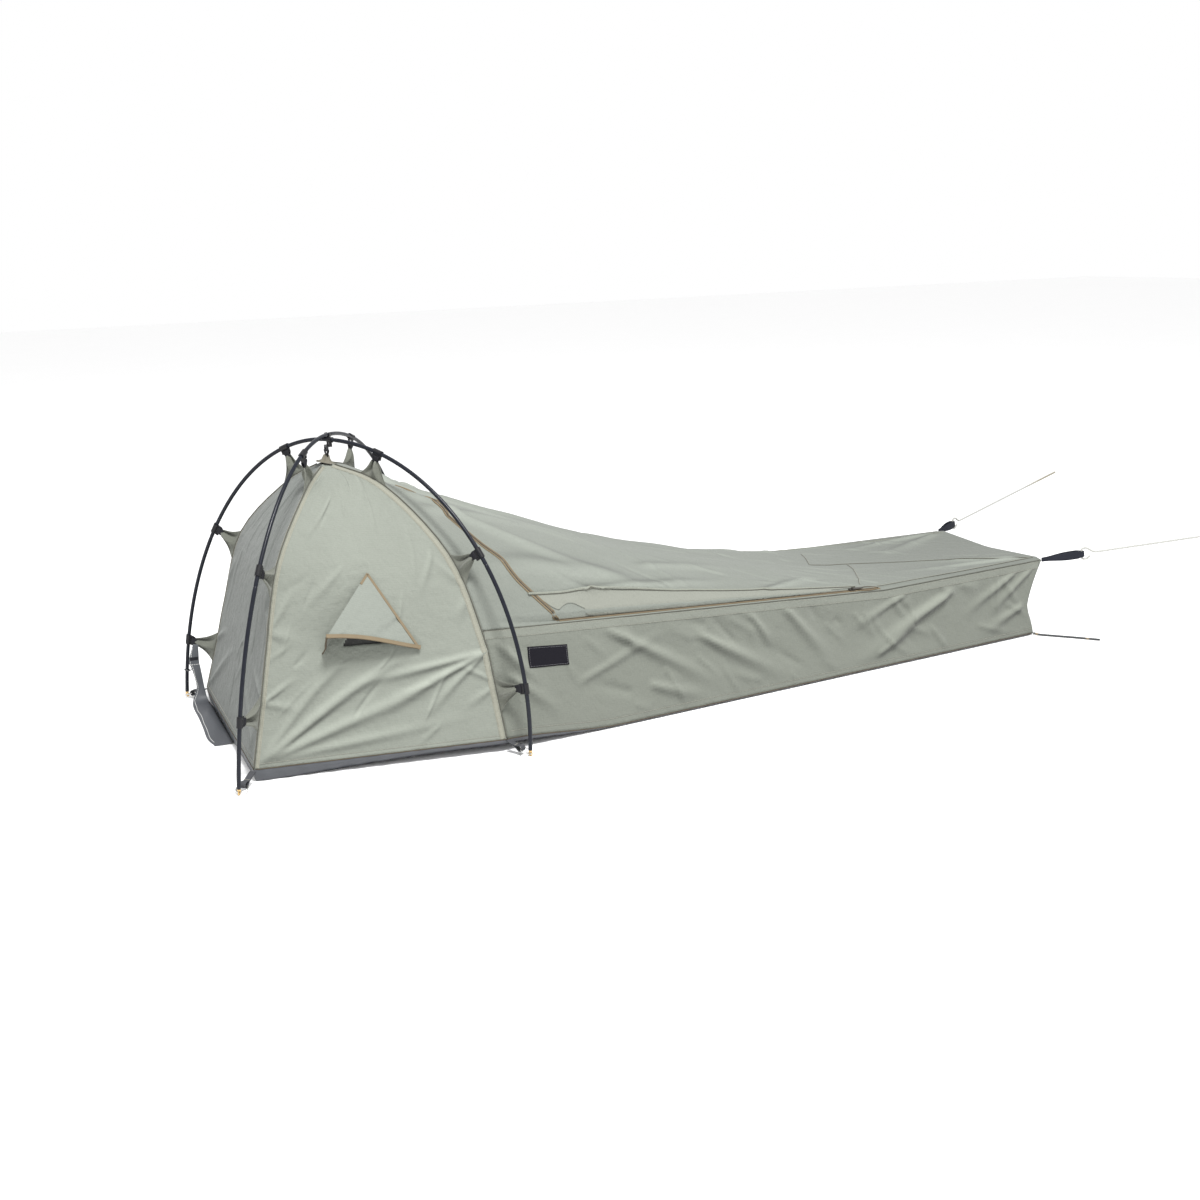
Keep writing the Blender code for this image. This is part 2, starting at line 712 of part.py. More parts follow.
def make_crossing_strap(bar_frame, bottom, slot_low, finish):
    """Webbing round the clip's bar, gathered canvas tape under it, and the sewn crown patch."""
    bar = CROSS_BAR_HALF + GAP
    skin = bar + TAPE_THICKNESS
    crown = SEAMS[NEAR_MID][-1].z + CROWN_CAP_LIFT - CROWN_CAP_RISE
    neck = bottom - 0.009
    outer = [(skin, slot_low + GAP + TAPE_THICKNESS), (skin, bottom - GAP)]
    outer += [(0.0016, neck), (0.0016, neck - 0.004)]
    outer += [(-x, z) for x, z in reversed(outer)]
    hole = [(bar, slot_low + GAP), (bar, bottom - GAP), (0.0, neck + 0.0022)]
    hole += [(-x, z) for x, z in reversed(hole[:2])]
    axis = bar_frame.col[0].to_3d()
    across = bar_frame.col[1].to_3d()
    place = bar_frame.translation
    frame = axes_matrix(across, Z_AXIS, across.cross(Z_AXIS), place)
    webbing = prism("webbing", [outer, hole], -TAPE_HALF_WIDTH, TAPE_HALF_WIDTH, frame)
    rings = []
    top = crown + CROWN_CAP_RISE + GAP
    steps = ((neck, 0.0075, 0.0030), (neck - 0.008, 0.0045, 0.0034),
             (crown + 0.004, 0.0060, 0.0040), (top, 0.0100, 0.0080))
    for height, half_long, half_thick in steps:
        ring = []
        for k in range(8):
            turn = 2 * math.pi * k / 8
            flat = axis * half_long * math.cos(turn) + across * half_thick * math.sin(turn)
            ring.append(Vector((place.x, place.y, height)) + flat)
        rings.append(ring)
    tape = loft("tape", rings)
    under = []
    over = []
    for corner in (NEAR_HEAD, NEAR_MID, FAR_MID, FAR_HEAD):
        direction = spoke(corner).normalized()
        path = SEAMS[corner]
        rim = CROSSING + direction * CROWN_CAP_RADIUS
        level = height_on_seam(path, CROWN_CAP_RADIUS) + CROWN_CAP_LIFT
        tilt = UP * level
        under.append(rim + tilt)
        over.append(rim + UP * (level + CANVAS_THICKNESS))
    top = crown + CROWN_CAP_RISE
    centre = CROSSING + UP * top
    lower_ring = [point.lerp(centre, 0.38) for point in under]
    for k, point in enumerate(lower_ring):
        lower_ring[k] = Vector((point.x, point.y, top))
    upper_ring = [Vector((point.x, point.y, top + CANVAS_THICKNESS)) for point in lower_ring]
    cap = loft("cap", [lower_ring, under, over, upper_ring])
    mesh = combine("crossing_strap", cap, [tape, webbing], "UNION")
    add_piece(mesh.name, mesh, finish)


def height_on_seam(path, reach):
    """Height of a seam at a distance from the crossing's leaning axis."""
    far = None
    for point in path:
        distance = (point - UP * point.z - CROSSING).length
        if far and distance <= reach:
            part = (far[0] - reach) / (far[0] - distance)
            return far[1] + (point.z - far[1]) * part
        far = (distance, point.z)
    return path[-1].z


# Cloth panels

def grid_normals(grid, inside):
    """Unit normals of a grid of points, turned to point at the inside."""
    rows = len(grid)
    columns = len(grid[0])
    normals = []
    for i in range(rows):
        line = []
        for j in range(columns):
            du = grid[i][min(j + 1, columns - 1)] - grid[i][max(j - 1, 0)]
            dv = grid[min(i + 1, rows - 1)][j] - grid[max(i - 1, 0)][j]
            normal = du.cross(dv).normalized()
            if normal.dot(inside(grid[i][j]) - grid[i][j]) < 0:
                normal = -normal
            line.append(normal)
        normals.append(line)
    return normals


def step_in(normal, planes, thickness):
    """A cloth's step to its inner side, kept parallel to the planes that its edge meets."""
    if STRAIGHT_DOWN in planes:
        return UP * -thickness
    if not planes:
        return normal * thickness
    if len(planes) == 1:
        step = normal - planes[0] * normal.dot(planes[0])
    else:
        step = planes[0].cross(planes[1])
        if step.dot(normal) < 0:
            step = -step
    step.normalize()
    return step * thickness / max(step.dot(normal), 0.45)


def cloth(name, grid, thickness, inside, edges):
    """A thin closed sheet. Edges maps top, bottom, left, right to the plane that the edge meets."""
    rows = len(grid)
    columns = len(grid[0])
    normals = grid_normals(grid, inside)
    points = [point for row in grid for point in row]
    count = len(points)
    for i in range(rows):
        for j in range(columns):
            planes = []
            sides = (("bottom", i == 0), ("top", i == rows - 1),
                     ("left", j == 0), ("right", j == columns - 1))
            for side, at_edge in sides:
                if at_edge and side in edges:
                    plane = edges[side]
                    planes.append(plane(j) if callable(plane) else plane)
            points.append(grid[i][j] + step_in(normals[i][j], planes, thickness))
    faces = []
    for i in range(rows - 1):
        for j in range(columns - 1):
            a = i * columns + j
            faces.append((a, a + 1, a + 1 + columns, a + columns))
            faces.append((a + count, a + columns + count, a + 1 + columns + count, a + 1 + count))
    rim = [j for j in range(columns)]
    rim += [i * columns + columns - 1 for i in range(1, rows)]
    rim += [(rows - 1) * columns + j for j in range(columns - 2, -1, -1)]
    rim += [i * columns for i in range(rows - 2, 0, -1)]
    for a, b in zip(rim, rim[1:] + rim[:1]):
        faces.append((a, b, b + count, a + count))
    return closed_mesh(name, points, faces)


STRAIGHT_DOWN = "straight down"


def window(share):
    """Rises from 0 at both ends of a span to 1 in its middle."""
    return math.sin(math.pi * min(max(share, 0.0), 1.0))


def inside_point(point):
    """A point well inside the tent, level with the given one."""
    return Vector((max(point.x + 0.2, -0.75), 0.0, 0.05))


EDGE_STEP = SEAM_THICKNESS / 2 + GAP


def dome_grid(left, right, rows, columns, fold):
    """Points of a dome panel between two corner seams, from hem to crown."""
    normal_left = plane_normal(left)
    normal_right = plane_normal(right)
    middle = (SEAMS[left][0] + SEAMS[right][0]) / 2
    if normal_left.dot(middle - CROSSING) < 0:
        normal_left = -normal_left
    if normal_right.dot(middle - CROSSING) < 0:
        normal_right = -normal_right
    outward = (middle - CROSSING).normalized()
    grid = []
    for i in range(rows + 1):
        level = i / rows
        start = along(SEAMS[left], level) + normal_left * EDGE_STEP
        end = along(SEAMS[right], level) + normal_right * EDGE_STEP
        row = []
        for j in range(columns + 1):
            share = j / columns
            row.append(start.lerp(end, share) + outward * fold(share, level))
        grid.append(row)
    return grid, (normal_left, normal_right)


def hem_points(left, right, columns):
    grid, planes = dome_grid(left, right, 1, columns, lambda share, level: 0.0)
    return grid[0]


def near_fold(share, level):
    """Folds that run up from the near head corner, with the panel's soft belly."""
    belly = 0.006 * window(share) * window(level)
    angle = math.atan2(level + 0.02, share + 0.02)
    ripple = 0.0035 * math.sin(angle * 16) * window(share * 0.9 + 0.05) * window(level * 0.8)
    return belly + ripple


def head_fold(share, level):
    return 0.005 * window(share) * window(level)


def make_dome_panels():
    made = {}
    for name, left, right, fold in (("near_head_panel", NEAR_HEAD, NEAR_MID, near_fold),
                                    ("head_end_panel", FAR_HEAD, NEAR_HEAD, head_fold),
                                    ("far_head_panel", FAR_MID, FAR_HEAD, head_fold)):
        grid, planes = dome_grid(left, right, 14, 12, fold)
        edges = {"left": planes[0], "right": planes[1], "bottom": Z_AXIS}
        made[name] = cloth(name, grid, CANVAS_THICKNESS, inside_point, edges)
    return made


# Roof, side wall and floor

ZIP_BAND_WIDTH = 0.022
ZIP_BAND_RISE = 0.005
ZIP_CORNER_X = -0.373
ZIP_END_X = 0.565
ROOF_SPANS_UP = 16
ROOF_SPANS_LOW = 8
ROOF_SEAM_COLUMNS = 7
WALL_ROWS = 5


def wall_start():
    """The roof edge's first point: the middle seam at the wall's height, clear of the seam tape."""
    level = seam_at_height(NEAR_MID, WALL_TOP_AT_DOME)
    normal = plane_normal(NEAR_MID)
    if normal.x < 0:
        normal = -normal
    return along(SEAMS[NEAR_MID], level) + normal * EDGE_STEP


def roof_edge(x):
    """The near edge of the roof at a place along the tent."""
    start = wall_start()
    part = (x - start.x) / (FOOT_TOP_X - start.x)
    y = start.y + (-FOOT_TOP_WIDTH / 2 - start.y) * part
    if x < WALL_TOP_LOW_X:
        z = WALL_TOP_LOW + (start.z - WALL_TOP_LOW) * (WALL_TOP_LOW_X - x) / (WALL_TOP_LOW_X - start.x)
    else:
        share = (x - WALL_TOP_LOW_X) / (FOOT_TOP_X - WALL_TOP_LOW_X)
        z = WALL_TOP_LOW + (FOOT_TOP_HEIGHT - WALL_TOP_LOW) * share
    return Vector((x, y, z))


def roof_shares():
    """Shares along the roof, with one at the low point of its edge."""
    start = wall_start()
    low = (WALL_TOP_LOW_X - start.x) / (FOOT_TOP_X - start.x)
    shares = [low * k / ROOF_SPANS_UP for k in range(ROOF_SPANS_UP)]
    return shares + [low + (1 - low) * k / ROOF_SPANS_LOW for k in range(ROOF_SPANS_LOW + 1)]


def smooth_step(share):
    share = min(max(share, 0.0), 1.0)
    return share * share * (3 - 2 * share)


def roof_point(column, share):
    """A point on the near half of the roof."""
    start = wall_start()
    edge_level = seam_at_height(NEAR_MID, WALL_TOP_AT_DOME)
    band_level = seam_at_height(NEAR_MID, WALL_TOP_AT_DOME + 0.020)
    normal = plane_normal(NEAR_MID)
    if normal.x < 0:
        normal = -normal
    if column < 2:
        edge = roof_edge(start.x + (FOOT_TOP_X - start.x) * share)
        if column == 0:
            return edge
        first = along(SEAMS[NEAR_MID], band_level) + normal * EDGE_STEP
        blend = smooth_step((edge.x - start.x) / (ZIP_CORNER_X - start.x))
        x = first.x + (FOOT_TOP_X - first.x) * share
        edge = roof_edge(max(x, start.x))
        side = (first.y - start.y) * (1 - blend) + ZIP_BAND_WIDTH * blend
        rise = (first.z - start.z) * (1 - blend) + ZIP_BAND_RISE * blend
        if share == 0.0:
            return first
        return Vector((x, edge.y + side, edge.z + rise))
    part = (column - 1) / (ROOF_SEAM_COLUMNS - 2)
    level = band_level + (1.0 - band_level) * part
    first = along(SEAMS[NEAR_MID], level) + normal * EDGE_STEP
    spread = part * (FOOT_TOP_WIDTH / 2 - ZIP_BAND_WIDTH) * 0.93
    last_y = -FOOT_TOP_WIDTH / 2 + ZIP_BAND_WIDTH + spread
    x = first.x + (FOOT_TOP_X - first.x) * share
    base = start.z + (WALL_TOP_LOW - start.z) * (x - start.x) / (WALL_TOP_LOW_X - start.x)
    if x > WALL_TOP_LOW_X:
        base = roof_edge(x).z
    base_first = start.z + (WALL_TOP_LOW - start.z) * (first.x - start.x) / (WALL_TOP_LOW_X - start.x)
    rise = (first.z - base_first) * (1 - share) ** ROOF_FALL_POWER
    sag = FOOT_TOP_SAG * part * share
    ripple = 0.003 * math.sin(x * 34 + part * 7) * window(part) * window(share)
    crest = ZIP_BAND_RISE * (1 - part) * smooth_step(share * 6)
    return Vector((x, first.y + (last_y - first.y) * share, base + rise + crest - sag + ripple))


def mirrored(point):
    return Vector((point.x, -point.y, point.z))


def make_roof():
    rows = []
    for share in roof_shares():
        near = [roof_point(column, share) for column in range(ROOF_SEAM_COLUMNS)]
        rows.append(near + [mirrored(point) for point in reversed(near)])
    near_plane = plane_normal(NEAR_MID)
    far_plane = plane_normal(FAR_MID)
    edges = {
        "bottom": lambda column: near_plane if column < ROOF_SEAM_COLUMNS else far_plane,
        "left": STRAIGHT_DOWN,
        "right": STRAIGHT_DOWN,
        "top": STRAIGHT_DOWN,
    }
    return cloth("roof_panel", rows, CANVAS_THICKNESS, lambda point: point - Z_AXIS * 0.2, edges)


def wall_foot_x(level):
    """The foot corner's place along the tent: it draws in between the base and the top."""
    middle = 0.4
    if level < middle:
        return FOOT_BASE_X + (FOOT_WAIST_X - FOOT_BASE_X) * smooth_step(level / middle)
    return FOOT_WAIST_X + (FOOT_TOP_X - FOOT_WAIST_X) * ((level - middle) / (1 - middle)) ** 1.3


def hem_height(x):
    """The hem falls from its height at the dome to the ground."""
    start = SEAMS[NEAR_MID][0].x
    part = min(max((x - start) / HEM_FALL_LENGTH, 0.0), 1.0)
    return HEM_HEIGHT + (FOOT_HEM_HEIGHT - HEM_HEIGHT) * smooth_step(part)


def wall_point(share, level):
    """A point on the near wall. Level runs from the hem to the roof edge."""
    normal = plane_normal(NEAR_MID)
    if normal.x < 0:
        normal = -normal
    start = wall_start()
    top_level = seam_at_height(NEAR_MID, WALL_TOP_AT_DOME)
    drop = UP * (CANVAS_THICKNESS + GAP)
    seam = along(SEAMS[NEAR_MID], top_level * level) + normal * EDGE_STEP
    low = SEAMS[NEAR_MID][0] + normal * EDGE_STEP
    top = roof_edge(start.x + (FOOT_TOP_X - start.x) * share) - drop
    base_x = low.x + (FOOT_BASE_X - low.x) * share
    base = Vector((base_x, low.y + (-FOOT_BASE_WIDTH / 2 - low.y) * share, hem_height(base_x)))
    point = base.lerp(top, level)
    straight = low.lerp(start - drop, level)
    bend = (seam - UP * (drop.z * level) - straight) * (1 - share) ** 4
    straight_foot = FOOT_BASE_X + (FOOT_TOP_X - FOOT_BASE_X) * level
    draw_in = Vector((wall_foot_x(level) - straight_foot, 0.0, 0.0)) * share ** 6
    hollow = 0.010 * window(share) ** 0.5 * window(level)
    ripple = 0.003 * math.sin(share * 40 + level * 6) * window(share) * window(level)
    return point + bend + draw_in + Vector((0.0, hollow + ripple, 0.0))


def foot_wall_point(column, level):
    """A point on the foot end wall, under one column of the roof."""
    half = 2 * ROOF_SEAM_COLUMNS
    if column >= ROOF_SEAM_COLUMNS:
        return mirrored(foot_wall_point(half - 1 - column, level))
    corner = wall_point(1.0, level)
    top = roof_point(column, 1.0)
    lift = (top.z - roof_point(0, 1.0).z) * level
    return Vector((corner.x, corner.y * top.y / (-FOOT_TOP_WIDTH / 2), corner.z + lift))


def wall_columns():
    """Places along the wall band: near wall, foot wall, far wall."""
    near = [("near", share) for share in roof_shares()]
    end = [("foot", column) for column in range(1, 2 * ROOF_SEAM_COLUMNS - 1)]
    far = [("far", share) for share in reversed(roof_shares())]
    return near + end + far


def band_point(kind, place, level):
    if kind == "near":
        return wall_point(place, level)
    if kind == "far":
        return mirrored(wall_point(place, level))
    return foot_wall_point(place, level)


def make_side_wall():
    rows = []
    for i in range(WALL_ROWS + 1):
        rows.append([band_point(kind, share, i / WALL_ROWS) for kind, share in wall_columns()])
    near_plane = plane_normal(NEAR_MID)
    far_plane = plane_normal(FAR_MID)
    edges = {"left": near_plane, "right": far_plane, "bottom": Z_AXIS, "top": Z_AXIS}
    inside = lambda point: Vector((point.x - 0.15, 0.0, point.z))
    return cloth("side_wall", rows, CANVAS_THICKNESS, inside, edges)


def hem_line():
    """The hem all round the tent, as the cloth pieces end there."""
    line = [band_point(kind, share, 0.0) for kind, share in wall_columns()]
    for left, right in ((FAR_MID, FAR_HEAD), (FAR_HEAD, NEAR_HEAD), (NEAR_HEAD, NEAR_MID)):
        line += hem_points(left, right, 12)
    return line


def make_floor(finish):
    """A shallow tray whose rim is sewn to the hem."""
    line = hem_line()
    middle_x = (HEAD_FEET_X + FOOT_BASE_X) / 2
    rim = [Vector((p.x, p.y, p.z - GAP)) for p in line]
    base = []
    for p in line:
        behind = smooth_step((FLOOR_TUCK_END_X - p.x) / FLOOR_TUCK_FADE)
        blend = behind * smooth_step((p.x - FLOOR_TUCK_START_X) / FLOOR_TUCK_GROWTH)
        across = FLOOR_INSET_WALL + (FLOOR_INSET_MID - FLOOR_INSET_WALL) * blend
        side = p.y * (1 - across / max(abs(p.y), FOOT_BASE_WIDTH * 0.4))
        x = max(p.x + FLOOR_INSET_HEAD, HEAD_FEET_X + FLOOR_HEAD_START)
        base.append(Vector((min(x, FOOT_BASE_X - FLOOR_INSET_WALL), side, 0.0)))
    inner_base = [inset(p, middle_x, FLOOR_THICKNESS * 1.4) + Z_AXIS * FLOOR_THICKNESS for p in base]
    inner_rim = [inset(p, middle_x, FLOOR_THICKNESS * 1.4) for p in rim]
    mesh = loft("floor_tub", [base, rim, inner_rim, inner_base])
    add_piece(mesh.name, mesh, finish)


def inset(point, middle_x, amount):
    """Move a rim point towards the tent's long middle line."""
    target = Vector((min(max(point.x, middle_x - 0.75), middle_x + 0.85), 0.0, point.z))
    step = target - point
    return point + step.normalized() * amount


# Zip door

ZIP_HALF_WIDTH = 0.006
ZIP_TAPE_THICKNESS = 0.0010
CHAIN_HALF_WIDTH = 0.0020
CHAIN_HEIGHT = 0.0022
ZIP_OFFSET = 0.013
ZIP_LIFT = 0.0008
ZIP_CLIMB_LIFT = 0.0015
SEARCH_REACH = 0.9
SLIDER_REST_X = 0.475
SLIDER_LENGTH = 0.016
SLIDER_HALF_WIDTH = 0.0050
SLIDER_TOP = 0.0020
LUG_HEIGHT = 0.0042
PULL_LENGTH = 0.034
PULL_BAR = 0.0007


def zip_line(x):
    """The zip's middle line on the roof's edge band, at the tape's lower side."""
    edge = roof_edge(x)
    lateral = Vector((0.0, ZIP_BAND_WIDTH, ZIP_BAND_RISE)).normalized()
    run = (roof_edge(ZIP_END_X) - roof_edge(ZIP_CORNER_X)).normalized()
    normal = run.cross(lateral).normalized()
    share = ZIP_OFFSET / ZIP_BAND_WIDTH
    point = edge + Vector((0.0, ZIP_BAND_WIDTH, ZIP_BAND_RISE)) * share + normal * ZIP_LIFT
    return point, run, normal.cross(run).normalized(), normal


# The zip's way up the dome side, as steps from its corner: towards the head end, and inwards
ZIP_CLIMB = ((0.000, 0.000), (0.032, 0.000), (0.074, 0.019), (0.107, 0.047), (0.142, 0.084),
             (0.177, 0.124), (0.209, 0.172), (0.249, 0.222), (0.282, 0.270))


def surface_of(mesh):
    """A search tree of a cloth's faces."""
    work = bmesh.new()
    work.from_mesh(mesh)
    bmesh.ops.triangulate(work, faces=work.faces)
    tree = BVHTree.FromBMesh(work)
    work.free()
    return tree


def on_surface(tree, point, way):
    """Where a line through a point first meets the cloth."""
    return tree.ray_cast(point - way * SEARCH_REACH, way)[0]


def make_door_zip(roof, finish):
    """The zip: tape with its ridge of teeth, up the dome side and straight along the wall's top."""
    start, run, lateral, normal = zip_line(ZIP_CORNER_X)
    end = zip_line(ZIP_END_X)[0]
    outline = [(-ZIP_HALF_WIDTH, 0.0), (ZIP_HALF_WIDTH, 0.0), (ZIP_HALF_WIDTH, ZIP_TAPE_THICKNESS),
               (CHAIN_HALF_WIDTH, ZIP_TAPE_THICKNESS), (CHAIN_HALF_WIDTH, CHAIN_HEIGHT),
               (-CHAIN_HALF_WIDTH, CHAIN_HEIGHT), (-CHAIN_HALF_WIDTH, ZIP_TAPE_THICKNESS),
               (-ZIP_HALF_WIDTH, ZIP_TAPE_THICKNESS)]
    frame = axes_matrix(lateral, normal, lateral.cross(normal), start)
    reach = (end - start).length
    if lateral.cross(normal).dot(run) < 0:
        straight = prism("straight", [outline], -reach, 0.0005, frame)
    else:
        straight = prism("straight", [outline], -0.0005, reach, frame)
    tree = surface_of(roof)
    path = smooth_curve([Vector((start.x - back, start.y + into, 0.0)) for back, into in ZIP_CLIMB], 5)
    reach = ZIP_HALF_WIDTH * 0.9
    drape = []
    for k, point in enumerate(path):
        ahead = path[min(k + 1, len(path) - 1)] - path[max(k - 1, 0)]
        side = Vector((ahead.y, -ahead.x, 0.0)).normalized() * reach
        drape.append([on_surface(tree, point + side * step, -Z_AXIS) for step in (-1, 0, 1)])
    section = ((-ZIP_HALF_WIDTH, 0.0), (ZIP_HALF_WIDTH, 0.0), (ZIP_HALF_WIDTH, ZIP_TAPE_THICKNESS),
               (0.0, CHAIN_HEIGHT), (-ZIP_HALF_WIDTH, ZIP_TAPE_THICKNESS))
    rings = []
    for k, (left, middle, right) in enumerate(drape):
        ahead = (drape[min(k + 1, len(drape) - 1)][1] - drape[max(k - 1, 0)][1]).normalized()
        across = (right - left).normalized()
        face = across.cross(ahead).normalized()
        if face.z < 0:
            face = -face
        across = (across - ahead * across.dot(ahead)).normalized()
        base = (left + right) / 2
        base += face * (max((middle - base).dot(face), 0.0) + ZIP_CLIMB_LIFT)
        ring = []
        for step, level in section:
            ring.append(base + across * step + face * level)
        rings.append(ring)
    climb = loft("climb", rings)
    mesh = combine("door_zip", straight, [climb], "UNION")
    add_piece(mesh.name, mesh, finish)


def make_zip_slider(finish, pull_finish):
    """Slider that straddles the teeth, and its pull on a small bridge."""
    point, run, lateral, normal = zip_line(SLIDER_REST_X)
    floor = ZIP_TAPE_THICKNESS + GAP
    roof_level = CHAIN_HEIGHT + GAP
    top = roof_level + SLIDER_TOP
    inner = CHAIN_HALF_WIDTH + GAP
    half = SLIDER_HALF_WIDTH
    outline = [(-half, floor), (-inner, floor), (-inner, roof_level), (inner, roof_level), (inner, floor),
               (half, floor), (half, top - 0.0008), (half - 0.0008, top),
               (-half + 0.0008, top), (-half, top - 0.0008)]
    frame = axes_matrix(lateral, normal, lateral.cross(normal), point)
    half = SLIDER_LENGTH / 2
    body = prism("body", [outline], -half, half, frame)
    lug_frame = axes_matrix(run, normal, run.cross(normal), point)
    legs = arc((0.0, top + LUG_HEIGHT - 0.0030), 0.0030, 0, 180, 6)
    lug = [(0.0030, top - 0.0008), *legs, (-0.0030, top - 0.0008)]
    hole = arc((0.0, top + LUG_HEIGHT - 0.0030), 0.0017, 0, 180, 6)
    hole = [(0.0017, top + 0.0001), *hole, (-0.0017, top + 0.0001)]
    bridge = prism("bridge", [lug, hole], -0.0014, 0.0014, lug_frame)
    mesh = combine("zip_slider", body, [bridge], "UNION")
    rest = point + normal * top * 0.7
    mesh.transform(Matrix.Translation(-rest))
    add_piece(mesh.name, mesh, finish, Matrix.Translation(rest))
    bar = point + normal * (top + LUG_HEIGHT - 0.0030)
    tab_frame = axes_matrix(run, lateral, run.cross(lateral), Vector((0.0, 0.0, 0.0)))
    wide = 0.0033
    outer = [(-0.0008, -wide), (0.0060, -wide), (PULL_LENGTH * 0.5, -wide * 1.2), (PULL_LENGTH, -wide * 0.8),
             (PULL_LENGTH, wide * 0.8), (PULL_LENGTH * 0.5, wide * 1.2), (0.0060, wide), (-0.0008, wide)]
    inner_side = 0.0014 + GAP
    hole = [(PULL_BAR, -inner_side), (0.0050, -inner_side), (0.0050, inner_side), (PULL_BAR, inner_side)]
    tab = prism("zip_pull", [outer, hole], -0.0006, 0.0006, tab_frame)
    add_piece(tab.name, tab, pull_finish, Matrix.Translation(bar))


# Vent in the near head panel: a hole with a mesh behind it, under a hood on a folding gusset

VENT_TOP = Vector((-0.788, -0.255, 0.414))
VENT_RIGHT = Vector((-0.700, -0.327, 0.246))
VENT_LEFT = Vector((-0.907, -0.286, 0.254))
VENT_OUT = Vector((-0.175, -0.935, 0.309)).normalized()
HOOD_FREE_CORNER = Vector((-0.908, -0.343, 0.306))
HOOD_THICKNESS = 0.0014
HOOD_BRIM = 0.0034
HOOD_BRIM_WIDTH = 0.009
HOOD_BRIM_LIP = 0.0006
HOOD_LIFT = 0.0006
GUSSET_GAP = 0.0022
GUSSET_FOLD = 0.004
GUSSET_THICKNESS = 0.0008
VENT_HOLE_INSET = 0.22
VENT_MESH_MARGIN = 0.10
VENT_MESH_THICKNESS = 0.0006
VENT_MESH_DEPTH = 0.0027


def on_vent_triangle(along_base, up_share):
    """A point of the vent's triangle on the panel: along its base, then up towards its top corner."""
    return VENT_LEFT.lerp(VENT_RIGHT, along_base).lerp(VENT_TOP, up_share)


def vent_corners(margin):
    """Four corners of the vent's opening, drawn in from the triangle by a share of its size."""
    return [on_vent_triangle(margin, margin * 0.5), on_vent_triangle(1 - margin, margin * 0.5),
            on_vent_triangle(1 - margin * 1.4, 0.80 - margin), on_vent_triangle(margin * 1.4, 0.80 - margin)]


def cut_vent_hole(panel):
    """The near head panel with the vent's opening cut through it."""
    across = (VENT_RIGHT - VENT_LEFT - VENT_OUT * (VENT_RIGHT - VENT_LEFT).dot(VENT_OUT)).normalized()
    frame = axes_matrix(across, VENT_OUT.cross(across), VENT_OUT, VENT_LEFT)
    back = frame.inverted()
    outline = [tuple((back @ corner)[:2]) for corner in vent_corners(VENT_HOLE_INSET)]
    cutter = prism("vent_cutter", [outline], -0.05, 0.05, frame)
    return combine("near_head_panel", panel, [cutter], "DIFFERENCE")


def make_vent_mesh(panel_tree, finish):
    """Netting sewn behind the opening, following the panel's inner face."""
    low_left, low_right, top_right, top_left = vent_corners(VENT_MESH_MARGIN)
    rows = []
    for i in range(7):
        left = low_left.lerp(top_left, i / 6)
        right = low_right.lerp(top_right, i / 6)
        row = []
        for j in range(7):
            outer_face = on_surface(panel_tree, left.lerp(right, j / 6), -VENT_OUT)
            row.append(outer_face - VENT_OUT * VENT_MESH_DEPTH)
        rows.append(row)
    mesh = cloth("vent_mesh", rows, VENT_MESH_THICKNESS, inside_point, {})
    add_piece(mesh.name, mesh, finish)


def hood_seam(panel_tree):
    """Ends of the hood's sewn edge, held just clear of the panel all along."""
    bulge = 0.0
    for k in range(13):
        point = VENT_TOP.lerp(VENT_RIGHT, k / 12)
        bulge = max(bulge, (on_surface(panel_tree, point, -VENT_OUT) - point).dot(VENT_OUT))
    lift = VENT_OUT * (bulge + HOOD_LIFT)
    return VENT_TOP + lift, VENT_RIGHT + lift


def make_vent_hood(panel_tree, finish):
    """A stiff three-cornered hood: a flat cloth with a thick bound brim along its free edge."""
    top, right = hood_seam(panel_tree)
    seam = (right - top).normalized()
    free = HOOD_FREE_CORNER - top
    rise = (free - seam * free.dot(seam)).normalized()
    out = seam.cross(rise)
    if out.dot(VENT_OUT) < 0:
        out = -out
    frame = axes_matrix(seam, out.cross(seam), out, top)
    back = frame.inverted()
    corner = (back @ HOOD_FREE_CORNER)[:2]
    end = (back @ right)[:2]
    sheet = prism("sheet", [[(0.0, 0.0), tuple(end), tuple(corner)]], 0.0, HOOD_THICKNESS, frame)
    edge = Vector((end[0] - corner[0], end[1] - corner[1])).normalized()
    into = Vector((-edge.y, edge.x))
    if into.dot(Vector(corner)) > 0:
        into = -into
    tip_a = Vector(corner) + edge * 0.006 - into * HOOD_BRIM_LIP
    tip_b = Vector(end) - edge * 0.012 - into * HOOD_BRIM_LIP
    width = into * HOOD_BRIM_WIDTH
    brim_outline = [tuple(tip_a), tuple(tip_b), tuple(tip_b + width), tuple(tip_a + width)]
    brim = prism("brim", [brim_outline], -HOOD_BRIM_LIP, HOOD_BRIM, frame)
    mesh = combine("vent_hood", sheet, [brim], "UNION")
    mesh.transform(Matrix.Translation(-top))
    add_piece(mesh.name, mesh, finish, Matrix.Translation(top))


def make_vent_gusset(panel_tree, finish):
    """The soft folding side of the hood, between its left edge and the panel."""
    top, right = hood_seam(panel_tree)
    first = top.lerp(HOOD_FREE_CORNER, 0.12)
    last = HOOD_FREE_CORNER.lerp(top.lerp(right, 0.5), 0.03)
    fold = (VENT_LEFT - first).cross(last - first).normalized()
    rows = []
    for i in range(6):
        level = i / 5
        foot = on_surface(panel_tree, VENT_TOP.lerp(VENT_LEFT, 0.14 + 0.86 * level), -VENT_OUT)
        low = foot + VENT_OUT * GUSSET_GAP
        high = first.lerp(last, level) - VENT_OUT * GUSSET_GAP
        bend = fold * GUSSET_FOLD * window(level)
        rows.append([low.lerp(high, j / 3) + bend * window(j / 3) for j in range(4)])
    mesh = cloth("vent_gusset", rows, GUSSET_THICKNESS, inside_point, {})
    add_piece(mesh.name, mesh, finish)


